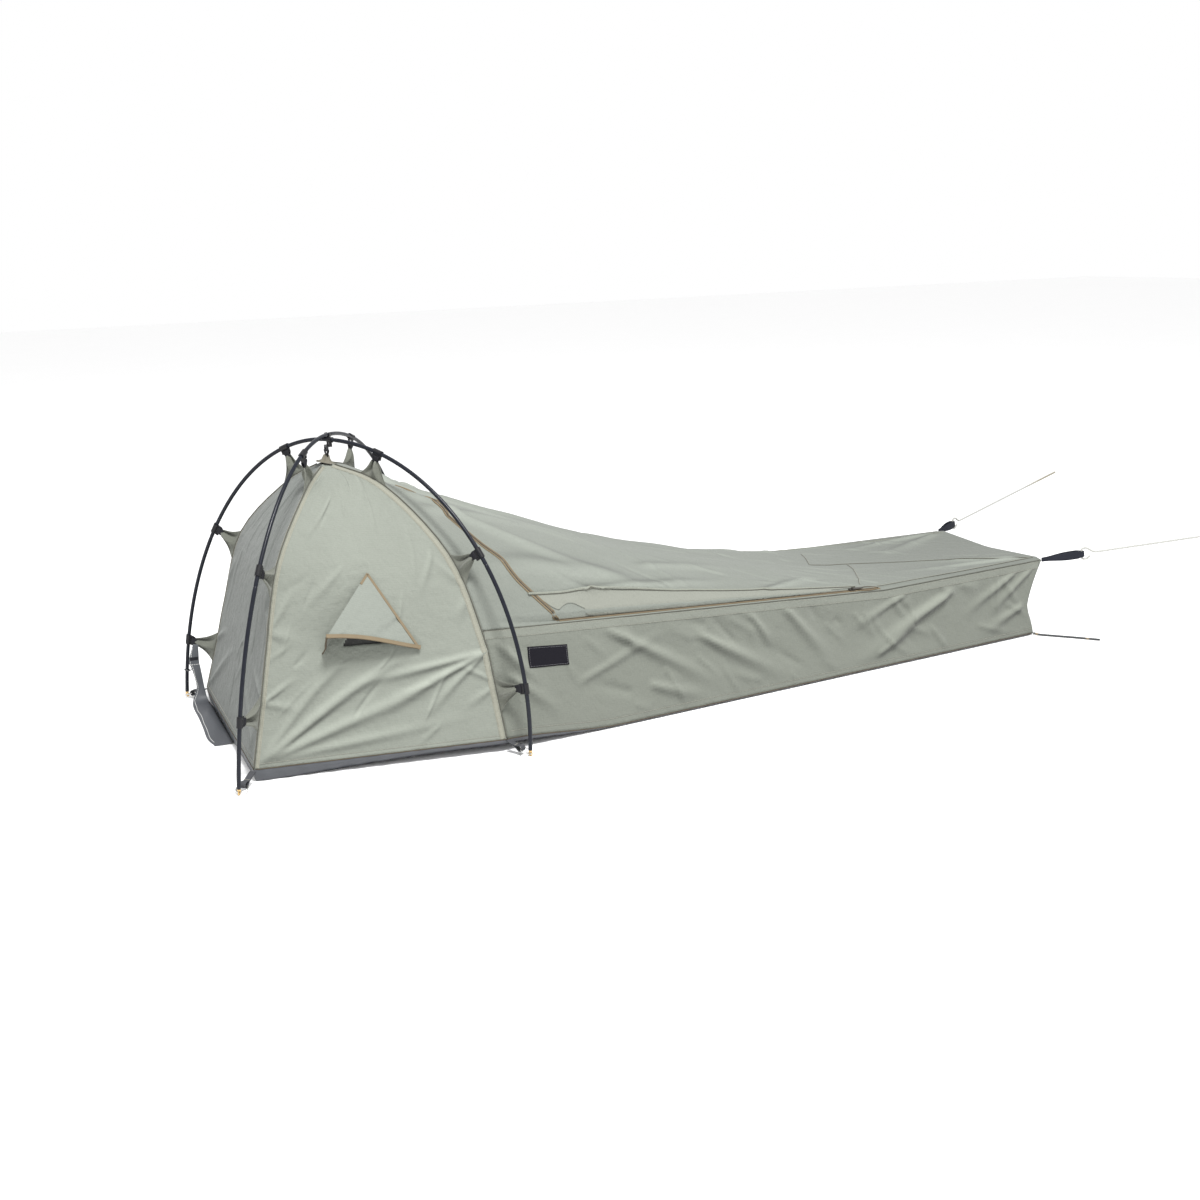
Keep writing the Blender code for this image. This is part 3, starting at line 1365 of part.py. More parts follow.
# Small cloth pieces on the wall and at the foot end

PATCH_CORNERS = (Vector((-0.459, 0, 0.172)), Vector((-0.356, 0, 0.163)),
                 Vector((-0.356, 0, 0.210)), Vector((-0.457, 0, 0.220)))
PATCH_THICKNESS = 0.0020
PATCH_LIFT = 0.0008


def make_patch(wall_tree, finish):
    """Hook-and-loop patch sewn on the near wall."""
    low_left, low_right, top_right, top_left = PATCH_CORNERS
    way = Vector((0.0, 1.0, 0.0))
    rows = []
    for i in range(4):
        row = []
        for j in range(7):
            point = low_left.lerp(low_right, j / 6).lerp(top_left.lerp(top_right, j / 6), i / 3)
            row.append(on_surface(wall_tree, point, way) - way * (PATCH_LIFT + PATCH_THICKNESS))
        rows.append(row)
    mesh = cloth("hook_and_loop_patch", rows, PATCH_THICKNESS, inside_point, {})
    add_piece(mesh.name, mesh, finish)


LOOP_HALF_HEIGHT = 0.011
LOOP_WEB = 0.0016
LOOP_BIGHT_RADIUS = 0.0045
LOOP_TAIL_GAP = 0.0007
LOOP_TIPS = {"near": Vector((1.236, -0.273, 0.218)), "far": Vector((1.208, 0.262, 0.2145))}
ROPE_ENDS = {"near": Vector((1.585, -0.410, 0.258)), "far": Vector((1.817, 0.502, 0.284))}
ROPE_RADIUS = 0.003


def pull_line(side):
    """A foot loop's tip, its unit direction along the rope and its unit cross direction."""
    tip = LOOP_TIPS[side]
    run = (ROPE_ENDS[side] - tip).normalized()
    across = Z_AXIS.cross(run).normalized()
    return tip, run, across


def make_foot_loop(side, finish):
    """Webbing on edge, folded to a loop that holds the guy rope."""
    tip, run, across = pull_line(side)
    corner = roof_edge(FOOT_TOP_X)
    if side == "far":
        corner = mirrored(corner)
    inner = LOOP_BIGHT_RADIUS
    outer = inner + LOOP_WEB
    length = (tip - corner).dot(run) - LOOP_TAIL_GAP
    outline = arc((-outer, 0.0), outer, 90, -90, 10)
    outline += [(-0.030, -LOOP_WEB), (-length, -LOOP_WEB), (-length, LOOP_WEB), (-0.030, LOOP_WEB)]
    hole = arc((-outer, 0.0), inner, 90, -90, 10) + [(-0.028, 0.0)]
    up = run.cross(across)
    frame = axes_matrix(run, across, up, tip)
    mesh = prism(f"foot_loop_{side}", [outline, hole], -LOOP_HALF_HEIGHT, LOOP_HALF_HEIGHT, frame)
    add_piece(mesh.name, mesh, finish)


def add_cord(name, points, radius, finish, resolution):
    """A cord: a round bevel on a line of points, closed at both ends."""
    curve = bpy.data.curves.new(name, "CURVE")
    curve.dimensions = "3D"
    curve.bevel_depth = radius
    curve.bevel_resolution = resolution
    curve.use_fill_caps = True
    line = curve.splines.new("POLY")
    line.points.add(len(points) - 1)
    for item, point in zip(line.points, points):
        item.co = (*point, 1.0)
    curve.materials.append(finish)
    cord = bpy.data.objects.new(name, curve)
    bpy.context.collection.objects.link(cord)
    return cord


# The rope's hitch round the loop's bight, as (distance along the rope line, height above it)
HITCH = ((0.0170, -0.0080), (0.0110, -0.0130), (0.0030, -0.0158), (-0.0030, -0.0148),
         (-0.0061, -0.0100), (-0.0061, 0.0100), (-0.0030, 0.0148), (0.0030, 0.0158),
         (0.0110, 0.0130), (0.0190, 0.0070), (0.0280, 0.0020), (0.0400, 0.0))


def make_guy_rope(side, finish):
    """The guy rope: hitched through the loop's bight and pulled straight away from the tent."""
    tip, run, across = pull_line(side)
    up = run.cross(across)
    points = [tip + run * step + up * rise for step, rise in HITCH]
    last = (ROPE_ENDS[side] - tip).length
    start = HITCH[-1][0]
    points += [tip + run * (start + (last - start) * k / 6) for k in range(1, 7)]
    add_cord(f"guy_rope_{side}", points, ROPE_RADIUS, finish, 3)


PEG_CORD_RADIUS = 0.0021
PEG_CORD_SPREAD = 0.0025
PEG_CORD_PATH = ((1.0854, -0.2554), (1.098, -0.2695), (1.108, -0.281), (1.126, -0.301),
                 (1.149, -0.326), (1.170, -0.350), (1.190, -0.374), (1.200, -0.386))


def make_peg_cord(side, finish):
    """Doubled cord on the ground from the foot end's bottom corner, looped for a peg."""
    sign = 1.0 if side == "near" else -1.0
    line = [Vector((x, y * sign, PEG_CORD_RADIUS + GAP)) for x, y in PEG_CORD_PATH]
    line[0].z = FOOT_HEM_HEIGHT - 2 * GAP
    way = (line[-1] - line[0]).normalized()
    side_step = Z_AXIS.cross(way)
    points = [point + side_step * PEG_CORD_SPREAD for point in line]
    points += [line[-1] + (way * math.sin(turn) + side_step * math.cos(turn)) * PEG_CORD_SPREAD
               for turn in (math.radians(45), math.radians(90), math.radians(135))]
    points += [point - side_step * PEG_CORD_SPREAD for point in reversed(line)]
    add_cord(f"peg_cord_{side}", points, PEG_CORD_RADIUS, finish, 2)


# Loose floor cloth at the far head corner: each row runs from its inner edge over a fold to its outer edge
FLAP_ROWS = (
    ((-1.0788, -0.045, 0.0030), (-1.100, -0.045, 0.0022), (-1.122, -0.042, 0.0022)),
    ((-1.0788, 0.020, 0.0030), (-1.104, 0.020, 0.0026), (-1.130, 0.016, 0.0022)),
    ((-1.0788, 0.100, 0.0030), (-1.102, 0.104, 0.0110), (-1.127, 0.100, 0.0022)),
    ((-1.0788, 0.180, 0.0030), (-1.101, 0.184, 0.0130), (-1.125, 0.180, 0.0022)),
    ((-1.0788, 0.250, 0.0030), (-1.100, 0.252, 0.0060), (-1.125, 0.250, 0.0022)),
    ((-1.0840, 0.292, 0.0080), (-1.100, 0.294, 0.0100), (-1.121, 0.298, 0.0080)),
    ((-1.0880, 0.306, 0.0360), (-1.096, 0.308, 0.0380), (-1.107, 0.311, 0.0400)),
    ((-1.0920, 0.308, 0.0850), (-1.101, 0.309, 0.0860), (-1.113, 0.312, 0.0860)),
    ((-1.0940, 0.310, 0.1060), (-1.104, 0.310, 0.1060), (-1.119, 0.312, 0.1060)),
    ((-1.0930, 0.311, 0.1260), (-1.102, 0.311, 0.1265), (-1.114, 0.313, 0.1260)),
    ((-1.0920, 0.312, 0.1500), (-1.098, 0.314, 0.1510), (-1.104, 0.316, 0.1520)),
)
FLAP_THICKNESS = 0.0012


def make_floor_flap(finish):
    """A loose flap of floor cloth: a strip on the ground that stands up at the far head corner."""
    rows = []
    for row in smooth_rows(FLAP_ROWS):
        rows.append([Vector(point) for point in row])
    under = Vector((0.1, -0.02, -0.3))
    mesh = cloth("floor_corner_flap", rows, FLAP_THICKNESS, lambda point: point + under, {})
    add_piece(mesh.name, mesh, finish)


# The cord that ties the flap to the pole
TIE_RADIUS = 0.0012
TIE_CENTRE = Vector((-1.1187, 0.3705, 0.072))
TIE_END = Vector((-1.1135, 0.3155, 0.088))


def make_flap_tie(finish):
    """A thin cord looped round the far head pole and led to the flap's edge."""
    toward = TIE_END - TIE_CENTRE
    out = Vector((toward.x, toward.y, 0.0)).normalized()
    side = Z_AXIS.cross(out)
    radius = POLE_RADIUS + TIE_RADIUS + 3 * GAP
    points = []
    for k in range(13):
        turn = math.radians(30 + 300 * k / 12)
        lift = Z_AXIS * 0.003 * (k / 12 - 0.5)
        points.append(TIE_CENTRE + (out * math.cos(turn) + side * math.sin(turn)) * radius + lift)
    last = points[-1]
    points += [last.lerp(TIE_END, share) - Z_AXIS * 0.004 * window(share) for share in (0.25, 0.5, 0.75, 1.0)]
    add_cord("flap_tie", points, TIE_RADIUS, finish, 2)


def smooth_rows(rows):
    """Rows of points with one more row between each two, on smooth curves."""
    columns = [smooth_curve([row[k] for row in rows], 2) for k in range(len(rows[0]))]
    return list(zip(*columns))


def build():
    clear_scene()
    canvas = material("canvas", (0.42, 0.44, 0.36), 0.85)
    webbing = material("webbing", (0.03, 0.03, 0.035), 0.8)
    plastic = material("black_plastic", (0.02, 0.02, 0.022), 0.4)
    pole = material("pole_coat", (0.02, 0.022, 0.03), 0.25)
    brass = material("brass", (0.65, 0.45, 0.2), 0.35, 1.0)
    steel = material("steel", (0.75, 0.75, 0.77), 0.25, 1.0)
    zip_cloth = material("zip_tape", (0.33, 0.26, 0.16), 0.8)
    dark_metal = material("zip_metal", (0.05, 0.05, 0.05), 0.4, 1.0)
    floor = material("floor_cloth", (0.06, 0.065, 0.08), 0.5)
    net = material("vent_net", (0.06, 0.06, 0.06), 0.9)
    patch = material("hook_and_loop", (0.03, 0.03, 0.03), 0.95)
    white_rope = material("white_rope", (0.8, 0.78, 0.72), 0.7)
    dark_cord = material("dark_cord", (0.05, 0.045, 0.04), 0.8)
    frames = {}
    for name in POLE_ENDS:
        make_pole(name, pole)
        frames.update(clip_frames(name))
    clip = clip_mesh()
    clip.materials.append(plastic)
    for (corner, label), place in frames.items():
        add_piece(f"pole_clip_{corner}_{label}", clip, plastic, place)
    for corner in CORNERS:
        make_corner_seam(corner, frames, canvas)
        make_pole_pin(corner, brass)
        make_ring(corner, steel)
        make_corner_strap(corner, webbing)
    bar_frame, bottom, slot_low = make_crossing_clip(plastic)
    make_crossing_strap(bar_frame, bottom, slot_low, webbing)
    panels = make_dome_panels()
    panels["roof_panel"] = make_roof()
    panels["side_wall"] = make_side_wall()
    near_tree = surface_of(panels["near_head_panel"])
    panels["near_head_panel"] = cut_vent_hole(panels["near_head_panel"])
    for name, mesh in panels.items():
        add_piece(name, mesh, canvas)
    make_vent_mesh(near_tree, net)
    make_vent_hood(near_tree, canvas)
    make_vent_gusset(near_tree, canvas)
    make_floor(floor)
    make_floor_flap(floor)
    make_flap_tie(dark_cord)
    make_door_zip(panels["roof_panel"], zip_cloth)
    make_zip_slider(dark_metal, dark_metal)
    make_patch(surface_of(panels["side_wall"]), patch)
    for side in ("near", "far"):
        make_foot_loop(side, webbing)
        make_guy_rope(side, white_rope)
        make_peg_cord(side, dark_cord)


build()
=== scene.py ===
# %% [markdown]
# # A motorcycle camping tent
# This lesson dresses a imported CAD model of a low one-person canvas tent. The tent hangs under two
# crossed arched poles at its head, and two taut white ropes pull out its foot end. The CAD gives every
# piece its place and its motion. Here each piece gets the folds, seams and finish that the real one has.

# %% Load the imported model
import json
import math

import bpy
import numpy as np
from mathutils import Matrix, Vector
from mathutils.bvhtree import BVHTree


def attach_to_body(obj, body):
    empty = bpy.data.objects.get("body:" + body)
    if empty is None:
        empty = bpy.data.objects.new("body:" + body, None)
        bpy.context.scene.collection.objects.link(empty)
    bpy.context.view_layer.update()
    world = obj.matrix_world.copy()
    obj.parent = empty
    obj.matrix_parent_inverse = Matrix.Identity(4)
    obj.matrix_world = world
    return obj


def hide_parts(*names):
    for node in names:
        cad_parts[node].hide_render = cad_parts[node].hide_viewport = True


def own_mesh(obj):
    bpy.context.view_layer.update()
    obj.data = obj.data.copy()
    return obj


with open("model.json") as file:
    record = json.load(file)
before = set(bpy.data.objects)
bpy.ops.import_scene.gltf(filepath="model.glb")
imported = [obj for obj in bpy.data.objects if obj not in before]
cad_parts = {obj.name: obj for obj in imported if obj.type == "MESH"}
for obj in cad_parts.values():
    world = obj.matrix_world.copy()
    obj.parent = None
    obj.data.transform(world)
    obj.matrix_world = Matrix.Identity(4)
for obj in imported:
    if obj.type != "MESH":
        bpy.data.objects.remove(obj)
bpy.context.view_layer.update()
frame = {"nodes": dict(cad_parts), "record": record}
nodes = frame["nodes"]
print("pieces in the packed model:", len(nodes))

# %% [markdown]
# ## Camera
# A lens and a viewpoint decide every outline in the picture, so they come first. The place, the turn
# and the focal length were worked out from the pole feet and the corners of the tent's foot end.

# %% Camera
CAMERA_PLACE = (-1.5163, -3.1884, 1.1123)
CAMERA_YAW = 66.341
CAMERA_PITCH = -14.603
CAMERA_ROLL = 1.836
CAMERA_LENS = 41.78

bpy.ops.object.camera_add(location=CAMERA_PLACE)
camera = bpy.context.object
camera.name = "camera"
yaw = Matrix.Rotation(math.radians(CAMERA_YAW - 90), 3, "Z")
pitch = Matrix.Rotation(math.radians(90 + CAMERA_PITCH), 3, "X")
roll = Matrix.Rotation(math.radians(-CAMERA_ROLL), 3, "Z")
camera.rotation_euler = (yaw @ pitch @ roll).to_euler()
camera.data.lens = CAMERA_LENS
camera.data.sensor_width = 36
camera.data.clip_end = 60
bpy.context.scene.camera = camera
print("camera looks along", [round(part, 3) for part in (yaw @ pitch @ Vector((0, 0, -1)))])

# %% [markdown]
# ## Light and floor
# The tent stands in a plain white studio. One large lamp high over the near side draws the folds, a
# weaker one reaches the wall from the foot end, and the pale sky does the rest.

# %% Light and floor
SKY = (1.0, 1.0, 1.0)


def add_lamp(name, place, target, size, power):
    """One soft square lamp that points at a place."""
    bpy.ops.object.light_add(type="AREA", location=place)
    lamp = bpy.context.object
    lamp.name = name
    lamp.data.size = size
    lamp.data.energy = power
    lamp.rotation_euler = (Vector(target) - Vector(place)).to_track_quat("-Z", "Y").to_euler()


add_lamp("key_lamp", (-0.5, -2.4, 4.4), (-0.4, 0.0, 0.2), 1.2, 330)
add_lamp("fill_lamp", (4.2, -2.5, 2.0), (0.5, 0.0, 0.2), 2.0, 4)
world = bpy.data.worlds.new("studio")
bpy.context.scene.world = world
world.use_nodes = True
world.node_tree.nodes["Background"].inputs["Color"].default_value = (*SKY, 1.0)
world.node_tree.nodes["Background"].inputs["Strength"].default_value = 1.0
bpy.context.scene.view_settings.view_transform = "Standard"

bpy.ops.object.select_all(action="DESELECT")
bpy.ops.mesh.primitive_plane_add(size=40, location=(0, 0, -0.0005))
floor = bpy.context.object
floor.name = "studio_floor"

# %% [markdown]
# ## Writing shader maths
# A node tree is easier to read as an expression. This small class wraps a socket, so that adding or
# multiplying two sockets makes the Math node between them. Every other node comes from one method.


# %% Shader expressions
class Wire:
    """A shader socket that takes part in Python arithmetic."""

    def __init__(self, finish, socket):
        self.finish = finish
        self.socket = socket

    def maths(self, operation, *values):
        return self.finish.node("ShaderNodeMath", {"operation": operation}, *values)

    def __add__(self, other):
        return self.maths("ADD", self, other)

    def __sub__(self, other):
        return self.maths("SUBTRACT", self, other)

    def __rsub__(self, other):
        return self.maths("SUBTRACT", other, self)

    def __mul__(self, other):
        return self.maths("MULTIPLY", self, other)

    def __gt__(self, other):
        return self.maths("GREATER_THAN", self, other)

    def __lt__(self, other):
        return self.maths("LESS_THAN", self, other)

    __radd__ = __add__
    __rmul__ = __mul__

    def wave(self, length):
        """A sine from 0 to 1 along this value, with a length in its units."""
        return self.maths("SINE", self * (2 * math.pi / length)) * 0.5 + 0.5

    def line(self, pitch, width):
        """1 on thin lines that repeat at a pitch, 0 between them."""
        return self.maths("PINGPONG", self, pitch / 2) < width / 2


class Finish:
    """A material whose nodes are made by expressions."""

    def __init__(self, name, **fixed):
        self.material = bpy.data.materials.new(name)
        self.material.use_nodes = True
        self.tree = self.material.node_tree
        self.shader = self.tree.nodes["Principled BSDF"]
        self.set(**fixed)

    def node(self, kind, settings, *values, output=0, **named):
        made = self.tree.nodes.new(kind)
        for key, value in settings.items():
            if key == "stops":
                for stop, (place, colour) in zip(made.color_ramp.elements, value):
                    stop.position = place
                    stop.color = (*colour, 1.0)
            else:
                setattr(made, key, value)
        for place, value in [*enumerate(values), *named.items()]:
            self.feed(made.inputs[place], value)
        return Wire(self, made.outputs[output])

    def feed(self, socket, value):
        if isinstance(value, Wire):
            self.tree.links.new(value.socket, socket)
        elif value is not None:
            socket.default_value = value

    def set(self, **inputs):
        for name, value in inputs.items():
            if isinstance(value, tuple) and len(value) == 3:
                value = (*value, 1.0)
            self.feed(self.shader.inputs[name.replace("_", " ").title().replace("Ior", "IOR")], value)

    def place(self):
        """Object coordinates, in metres."""
        return self.node("ShaderNodeTexCoord", {}, output=3)

    def cut(self):
        """The flat cloth's own coordinates across and along, in metres."""
        flat = self.node("ShaderNodeUVMap", {"uv_map": "cut"})
        return [self.node("ShaderNodeSeparateXYZ", {}, flat, output=axis) for axis in (0, 1)]

    def noise(self, where, scale, detail=3.0, rough=0.55):
        return self.node("ShaderNodeTexNoise", {}, Vector=where, Scale=scale, Detail=detail, Roughness=rough)

    def mix(self, factor, first, second):
        """A colour between two colours."""
        made = self.tree.nodes.new("ShaderNodeMix")
        made.data_type = "RGBA"
        self.feed(made.inputs[0], factor)
        for place, value in ((6, first), (7, second)):
            self.feed(made.inputs[place], (*value, 1.0) if isinstance(value, tuple) else value)
        return Wire(self, made.outputs[2])

    def relief(self, height, depth, strength=1.0):
        """Bump from a height of 0 to 1, with a depth in metres."""
        bump = self.node("ShaderNodeBump", {}, Strength=strength, Distance=depth, Height=height)
        self.tree.links.new(bump.socket, self.shader.inputs["Normal"])


# %% Studio floor finish
paper = Finish("studio_paper", roughness=0.85)
paper.set(base_color=paper.mix(paper.noise(paper.place(), 3.0), (0.95, 0.95, 0.95), (0.97, 0.97, 0.97)))
floor.data.materials.append(paper.material)

# %% [markdown]
# ## Where the cloth is sewn
# A tent is drawn by its seams. Four corner seams run from the hem to the crown, each in the plane of
# its pole, and every panel hangs between two of them. The numbers are the same as in the CAD source.

# %% Corner seams
GAP = 0.0003
CROSSING = np.array((-0.84366, 0.0, 0.0))
LEAN = 0.067153
CANVAS_TOP = 0.626
POLE_TOP = 0.685
POLE_RADIUS = 0.00425
HEM = 0.030
CROWN_REACH = 0.016
CORNERS = {
    "near_head": (-1.125, -0.3725),
    "near_mid": (-0.5, -0.455),
    "far_head": (-1.125, 0.3725),
    "far_mid": (-0.5, 0.455),
}
HEAD_SEAM = ((0.85, 0.0), (0.76, 0.272), (0.70, 0.431), (0.57, 0.712), (0.25, 0.922), (0.0, 1.0))
MID_SEAM = ((0.89, 0.0), (0.83, 0.248), (0.77, 0.425), (0.61, 0.701), (0.30, 0.928), (0.0, 1.0))
UP = np.array((LEAN, 0.0, 1.0))
Z = np.array((0.0, 0.0, 1.0))


MIRROR = np.array((1.0, -1.0, 1.0))
SIDES = {"near": np.ones(3), "far": MIRROR}


def unit(vector):
    """The same direction with a length of 1."""
    vector = np.asarray(vector, float)
    return vector / np.maximum(np.linalg.norm(vector, axis=-1, keepdims=True), 1e-12)


def spoke(corner):
    return np.array((*CORNERS[corner], 0.0)) - CROSSING


def pole_plane(corner):
    """Unit normal of a corner's pole plane, turned towards the foot end."""
    normal = unit(np.cross(spoke(corner), UP))
    return normal if normal[0] > 0 else -normal


def smooth_line(controls, steps):
    """Points on a smooth curve through the control points."""
    path = np.asarray(controls, float)
    path = np.vstack((2 * path[0] - path[1], path, 2 * path[-1] - path[-2]))
    shares = np.arange(steps)[:, None] / steps
    points = []
    for a, b, c, d in zip(path, path[1:], path[2:], path[3:]):
        points.append(0.5 * (2 * b + (c - a) * shares + (2 * a - 5 * b + 4 * c - d) * shares**2
                             + (3 * b - a - 3 * c + d) * shares**3))
    return np.vstack((*points, path[-2]))


def corner_seam(corner):
    """A corner seam's line from the hem to the crown."""
    shares = HEAD_SEAM if "head" in corner else MID_SEAM
    reach = np.linalg.norm(spoke(corner))
    return smooth_line([CROSSING + spoke(corner) * max(share, CROWN_REACH / reach)
                        + UP * max(level * CANVAS_TOP, HEM) for share, level in shares], 5)


def at_share(line, share):
    """Points at shares of a line's count of points."""
    places = np.clip(share, 0, 1) * (len(line) - 1)
    return np.stack([np.interp(places, np.arange(len(line)), line[:, axis]) for axis in range(3)], -1)


def lengths(line):
    """The distance from the start of a line to each of its points."""
    return np.concatenate(((0.0,), np.cumsum(np.linalg.norm(np.diff(line, axis=0), axis=1))))


def at_length(line, place):
    """Points at distances along a line."""
    total = lengths(line)
    return np.stack([np.interp(place, total, line[:, axis]) for axis in range(3)], -1)


def share_at_height(line, height):
    """How far along a rising line a height is met, as a share of its points."""
    return float(np.interp(height, line[:, 2], np.arange(len(line)))) / (len(line) - 1)


SEAMS = {corner: corner_seam(corner) for corner in CORNERS}
print("seam lengths, m:", {corner: round(float(lengths(line)[-1]), 3) for corner, line in SEAMS.items()})

# %% [markdown]
# ## Sheets of cloth
# A hung cloth is a grid of points with a small thickness. The grid is laid between the seams, then
# each point moves in or out by the folds: a belly where the cloth hangs loose, and straight creases
# where a gusset or a corner pulls on it. The flat cut's own coordinates are kept for the weave.


# %% Cloth helpers
def share_grid(rows, columns):
    """Shares from 0 to 1 down the rows and across the columns of a grid."""
    return np.meshgrid(np.linspace(0, 1, rows + 1), np.linspace(0, 1, columns + 1), indexing="ij")


def window(share):
    """0 at both ends of a span and 1 in its middle."""
    return np.sin(np.pi * np.clip(share, 0, 1))


def ease(share):
    """A share from 0 to 1 with a soft start and a soft end."""
    share = np.clip(share, 0, 1)
    return share * share * (3 - 2 * share)


def crease(u, v, start, end, width, height):
    """A soft straight ridge from start to end over a flat cloth, highest near its start."""
    ax, ay = start
    bx, by = end
    dx, dy = bx - ax, by - ay
    reach = dx * dx + dy * dy
    along = ((u - ax) * dx + (v - ay) * dy) / reach
    aside = ((u - ax) * dy - (v - ay) * dx) / math.sqrt(reach)
    wide = width * (0.55 + 0.9 * np.clip(along, 0, 1))
    fade = ease((along + 0.06) / 0.16) * ease((1.05 - along) / 0.75)
    return height * fade * np.exp(-((aside / wide) ** 2))


def flat_cut(grid):
    """Coordinates in metres across and along a grid, as if the cloth lay flat."""
    steps = [np.cumsum(np.linalg.norm(np.diff(grid, axis=axis), axis=2), axis=axis) for axis in (1, 0)]
    across = np.concatenate((np.zeros((grid.shape[0], 1)), steps[0]), axis=1)
    along = np.concatenate((np.zeros((1, grid.shape[1])), steps[1]), axis=0)
    return across - across[:, -1:] / 2, along


def grid_normals(grid, inside):
    """Unit normals of a grid, turned away from an inner point."""
    normals = unit(np.cross(np.gradient(grid, axis=1), np.gradient(grid, axis=0)))
    sign = np.sign(((grid - inside) * normals).sum(-1, keepdims=True))
    return normals * np.where(sign == 0, 1, sign)


def mesh_object(name, points, faces, finish, cut=None):
    """A new smooth mesh at the origin, with its flat cut as a UV map."""
    mesh = bpy.data.meshes.new(name)
    mesh.from_pydata(np.asarray(points, float).reshape(-1, 3).tolist(), [], faces)
    if cut is not None:
        layer = mesh.uv_layers.new(name="cut")
        corners = np.empty(len(mesh.loops), int)
        mesh.loops.foreach_get("vertex_index", corners)
        flat = np.stack(cut, -1).reshape(-1, 2)[corners]
        layer.data.foreach_set("uv", flat.ravel())
    mesh.materials.append(finish)
    piece = bpy.data.objects.new(name, mesh)
    bpy.context.scene.collection.objects.link(piece)
    mesh.polygons.foreach_set("use_smooth", [True] * len(mesh.polygons))
    return piece


def choose(piece):
    """Make a piece the only chosen and active one."""
    bpy.ops.object.select_all(action="DESELECT")
    bpy.context.view_layer.objects.active = piece
    piece.select_set(True)


def attach(piece, body="tent", node=None):
    """Ride on a body, and stand for a CAD piece if one is named."""
    if node:
        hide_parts(node)
    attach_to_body(piece, body)
    return piece


def sheet_object(name, grid, thickness, finish, inside, hole=None, painted_shade=None):
    """A cloth from its outer grid. Faces are turned out, and the thickness goes inwards."""
    rows, columns = grid.shape[:2]
    flip = ((grid - inside) * np.cross(np.gradient(grid, axis=1), np.gradient(grid, axis=0))).sum() < 0
    faces = []
    for i in range(rows - 1):
        for j in range(columns - 1):
            if hole is not None and hole[i, j]:
                continue
            a = i * columns + j
            face = (a, a + 1, a + 1 + columns, a + columns)
            faces.append(face[::-1] if flip else face)
    piece = mesh_object(name, grid, faces, finish, flat_cut(grid))
    # The painted shade of the folds is kept as a value on each point.
    if painted_shade is not None:
        layer = piece.data.attributes.new("painted_shade", "FLOAT", "POINT")
        layer.data.foreach_set("value", np.clip(painted_shade, 0, 1).ravel())
    wall = piece.modifiers.new("thickness", "SOLIDIFY")
    wall.thickness = thickness
    wall.offset = -1
    choose(piece)
    bpy.ops.object.modifier_apply(modifier=wall.name)
    return piece


# %% [markdown]
# ## Canvas
# The canvas is a sage green ripstop: a plain weave with a thicker thread every few millimetres that
# stops a tear. Seen close, the threads are a fine bump; seen from afar, only the faint grid and a
# slow change of shade where the cloth has been rolled and handled remain. The cloth also carries
# painted shade and highlight for its folds, as a value of its own: darker on the under side of each
# fold and lighter on its upper side, as if lit from above.


# %% Canvas finish
def canvas_finish(name, light, dark, grid_pitch=0.0052, fold_shade_painted=False):
    """Ripstop canvas, with the painted shade and highlight of its folds if asked for."""
    made = Finish(name, roughness=0.9, specular_ior_level=0.25, sheen_weight=0.12, sheen_roughness=0.6)
    across, along = made.cut()
    warp = made.noise(made.place(), 26.0, 2.0) * 0.0006
    threads = (across + warp).wave(0.0011) * 0.5 + (along + warp).wave(0.0011) * 0.5
    stops = (across + warp).line(grid_pitch, 0.0009).maths("MAXIMUM", (along + warp).line(grid_pitch, 0.0009))
    cloudy = made.noise(made.place(), 5.5, 4.0, 0.6)
    fine = made.noise(made.place(), 240.0, 2.0)
    shade = made.mix(cloudy * 0.75 + fine * 0.25, dark, light)
    shade = made.mix(stops * 0.30, shade, tuple(part * 0.74 for part in dark))
    shade = made.mix(threads * 0.10, shade, tuple(min(part * 1.35, 1.0) for part in light))
    # Painted shade and highlight: the under side of each fold darkens towards a deep shade colour, and its
    # upper side lightens.
    if fold_shade_painted:
        painted_shade = made.node("ShaderNodeAttribute", {"attribute_name": "painted_shade"}, output=2)
        low = made.mix(painted_shade * 2.0, tuple(part * 0.42 for part in dark), shade)
        shade = made.mix(painted_shade * 2.0 - 1.0, low, tuple(part * 1.28 for part in light))
    made.set(base_color=shade)
    slack = made.noise(made.place(), 11.0, 3.0, 0.55)
    crumpled = (slack * 2.0 - 1.0).maths("ABSOLUTE") * 0.7 + made.noise(made.place(), 34.0, 3.0, 0.6) * 0.3
    made.relief(threads * 0.005 + stops * 0.008 + fine * 0.004 + crumpled, 0.0240, 0.75)
    return made.material


# The near and far panels take the plain canvas. The roof, the head end and the wall take darker copies of it,
# as painted shade for the light that reaches them less.
canvas = canvas_finish("canvas", (0.205, 0.220, 0.190), (0.160, 0.172, 0.147), fold_shade_painted=True)
shaded_roof_cloth = canvas_finish("canvas_roof_painted_shade", (0.172, 0.185, 0.163), (0.136, 0.147, 0.128), fold_shade_painted=True)
shaded_head_end_cloth = canvas_finish("canvas_head_end_painted_shade", (0.128, 0.139, 0.127), (0.098, 0.107, 0.098), fold_shade_painted=True)

# %% [markdown]
# ## Dome panels
# Three panels close the head: the near one with the vent, the far one, and the head end. Each is a
# grid between two corner seams. The near panel is drawn tight from its lower corners, so long creases
# run up from them, and short ones run out from each gusset.


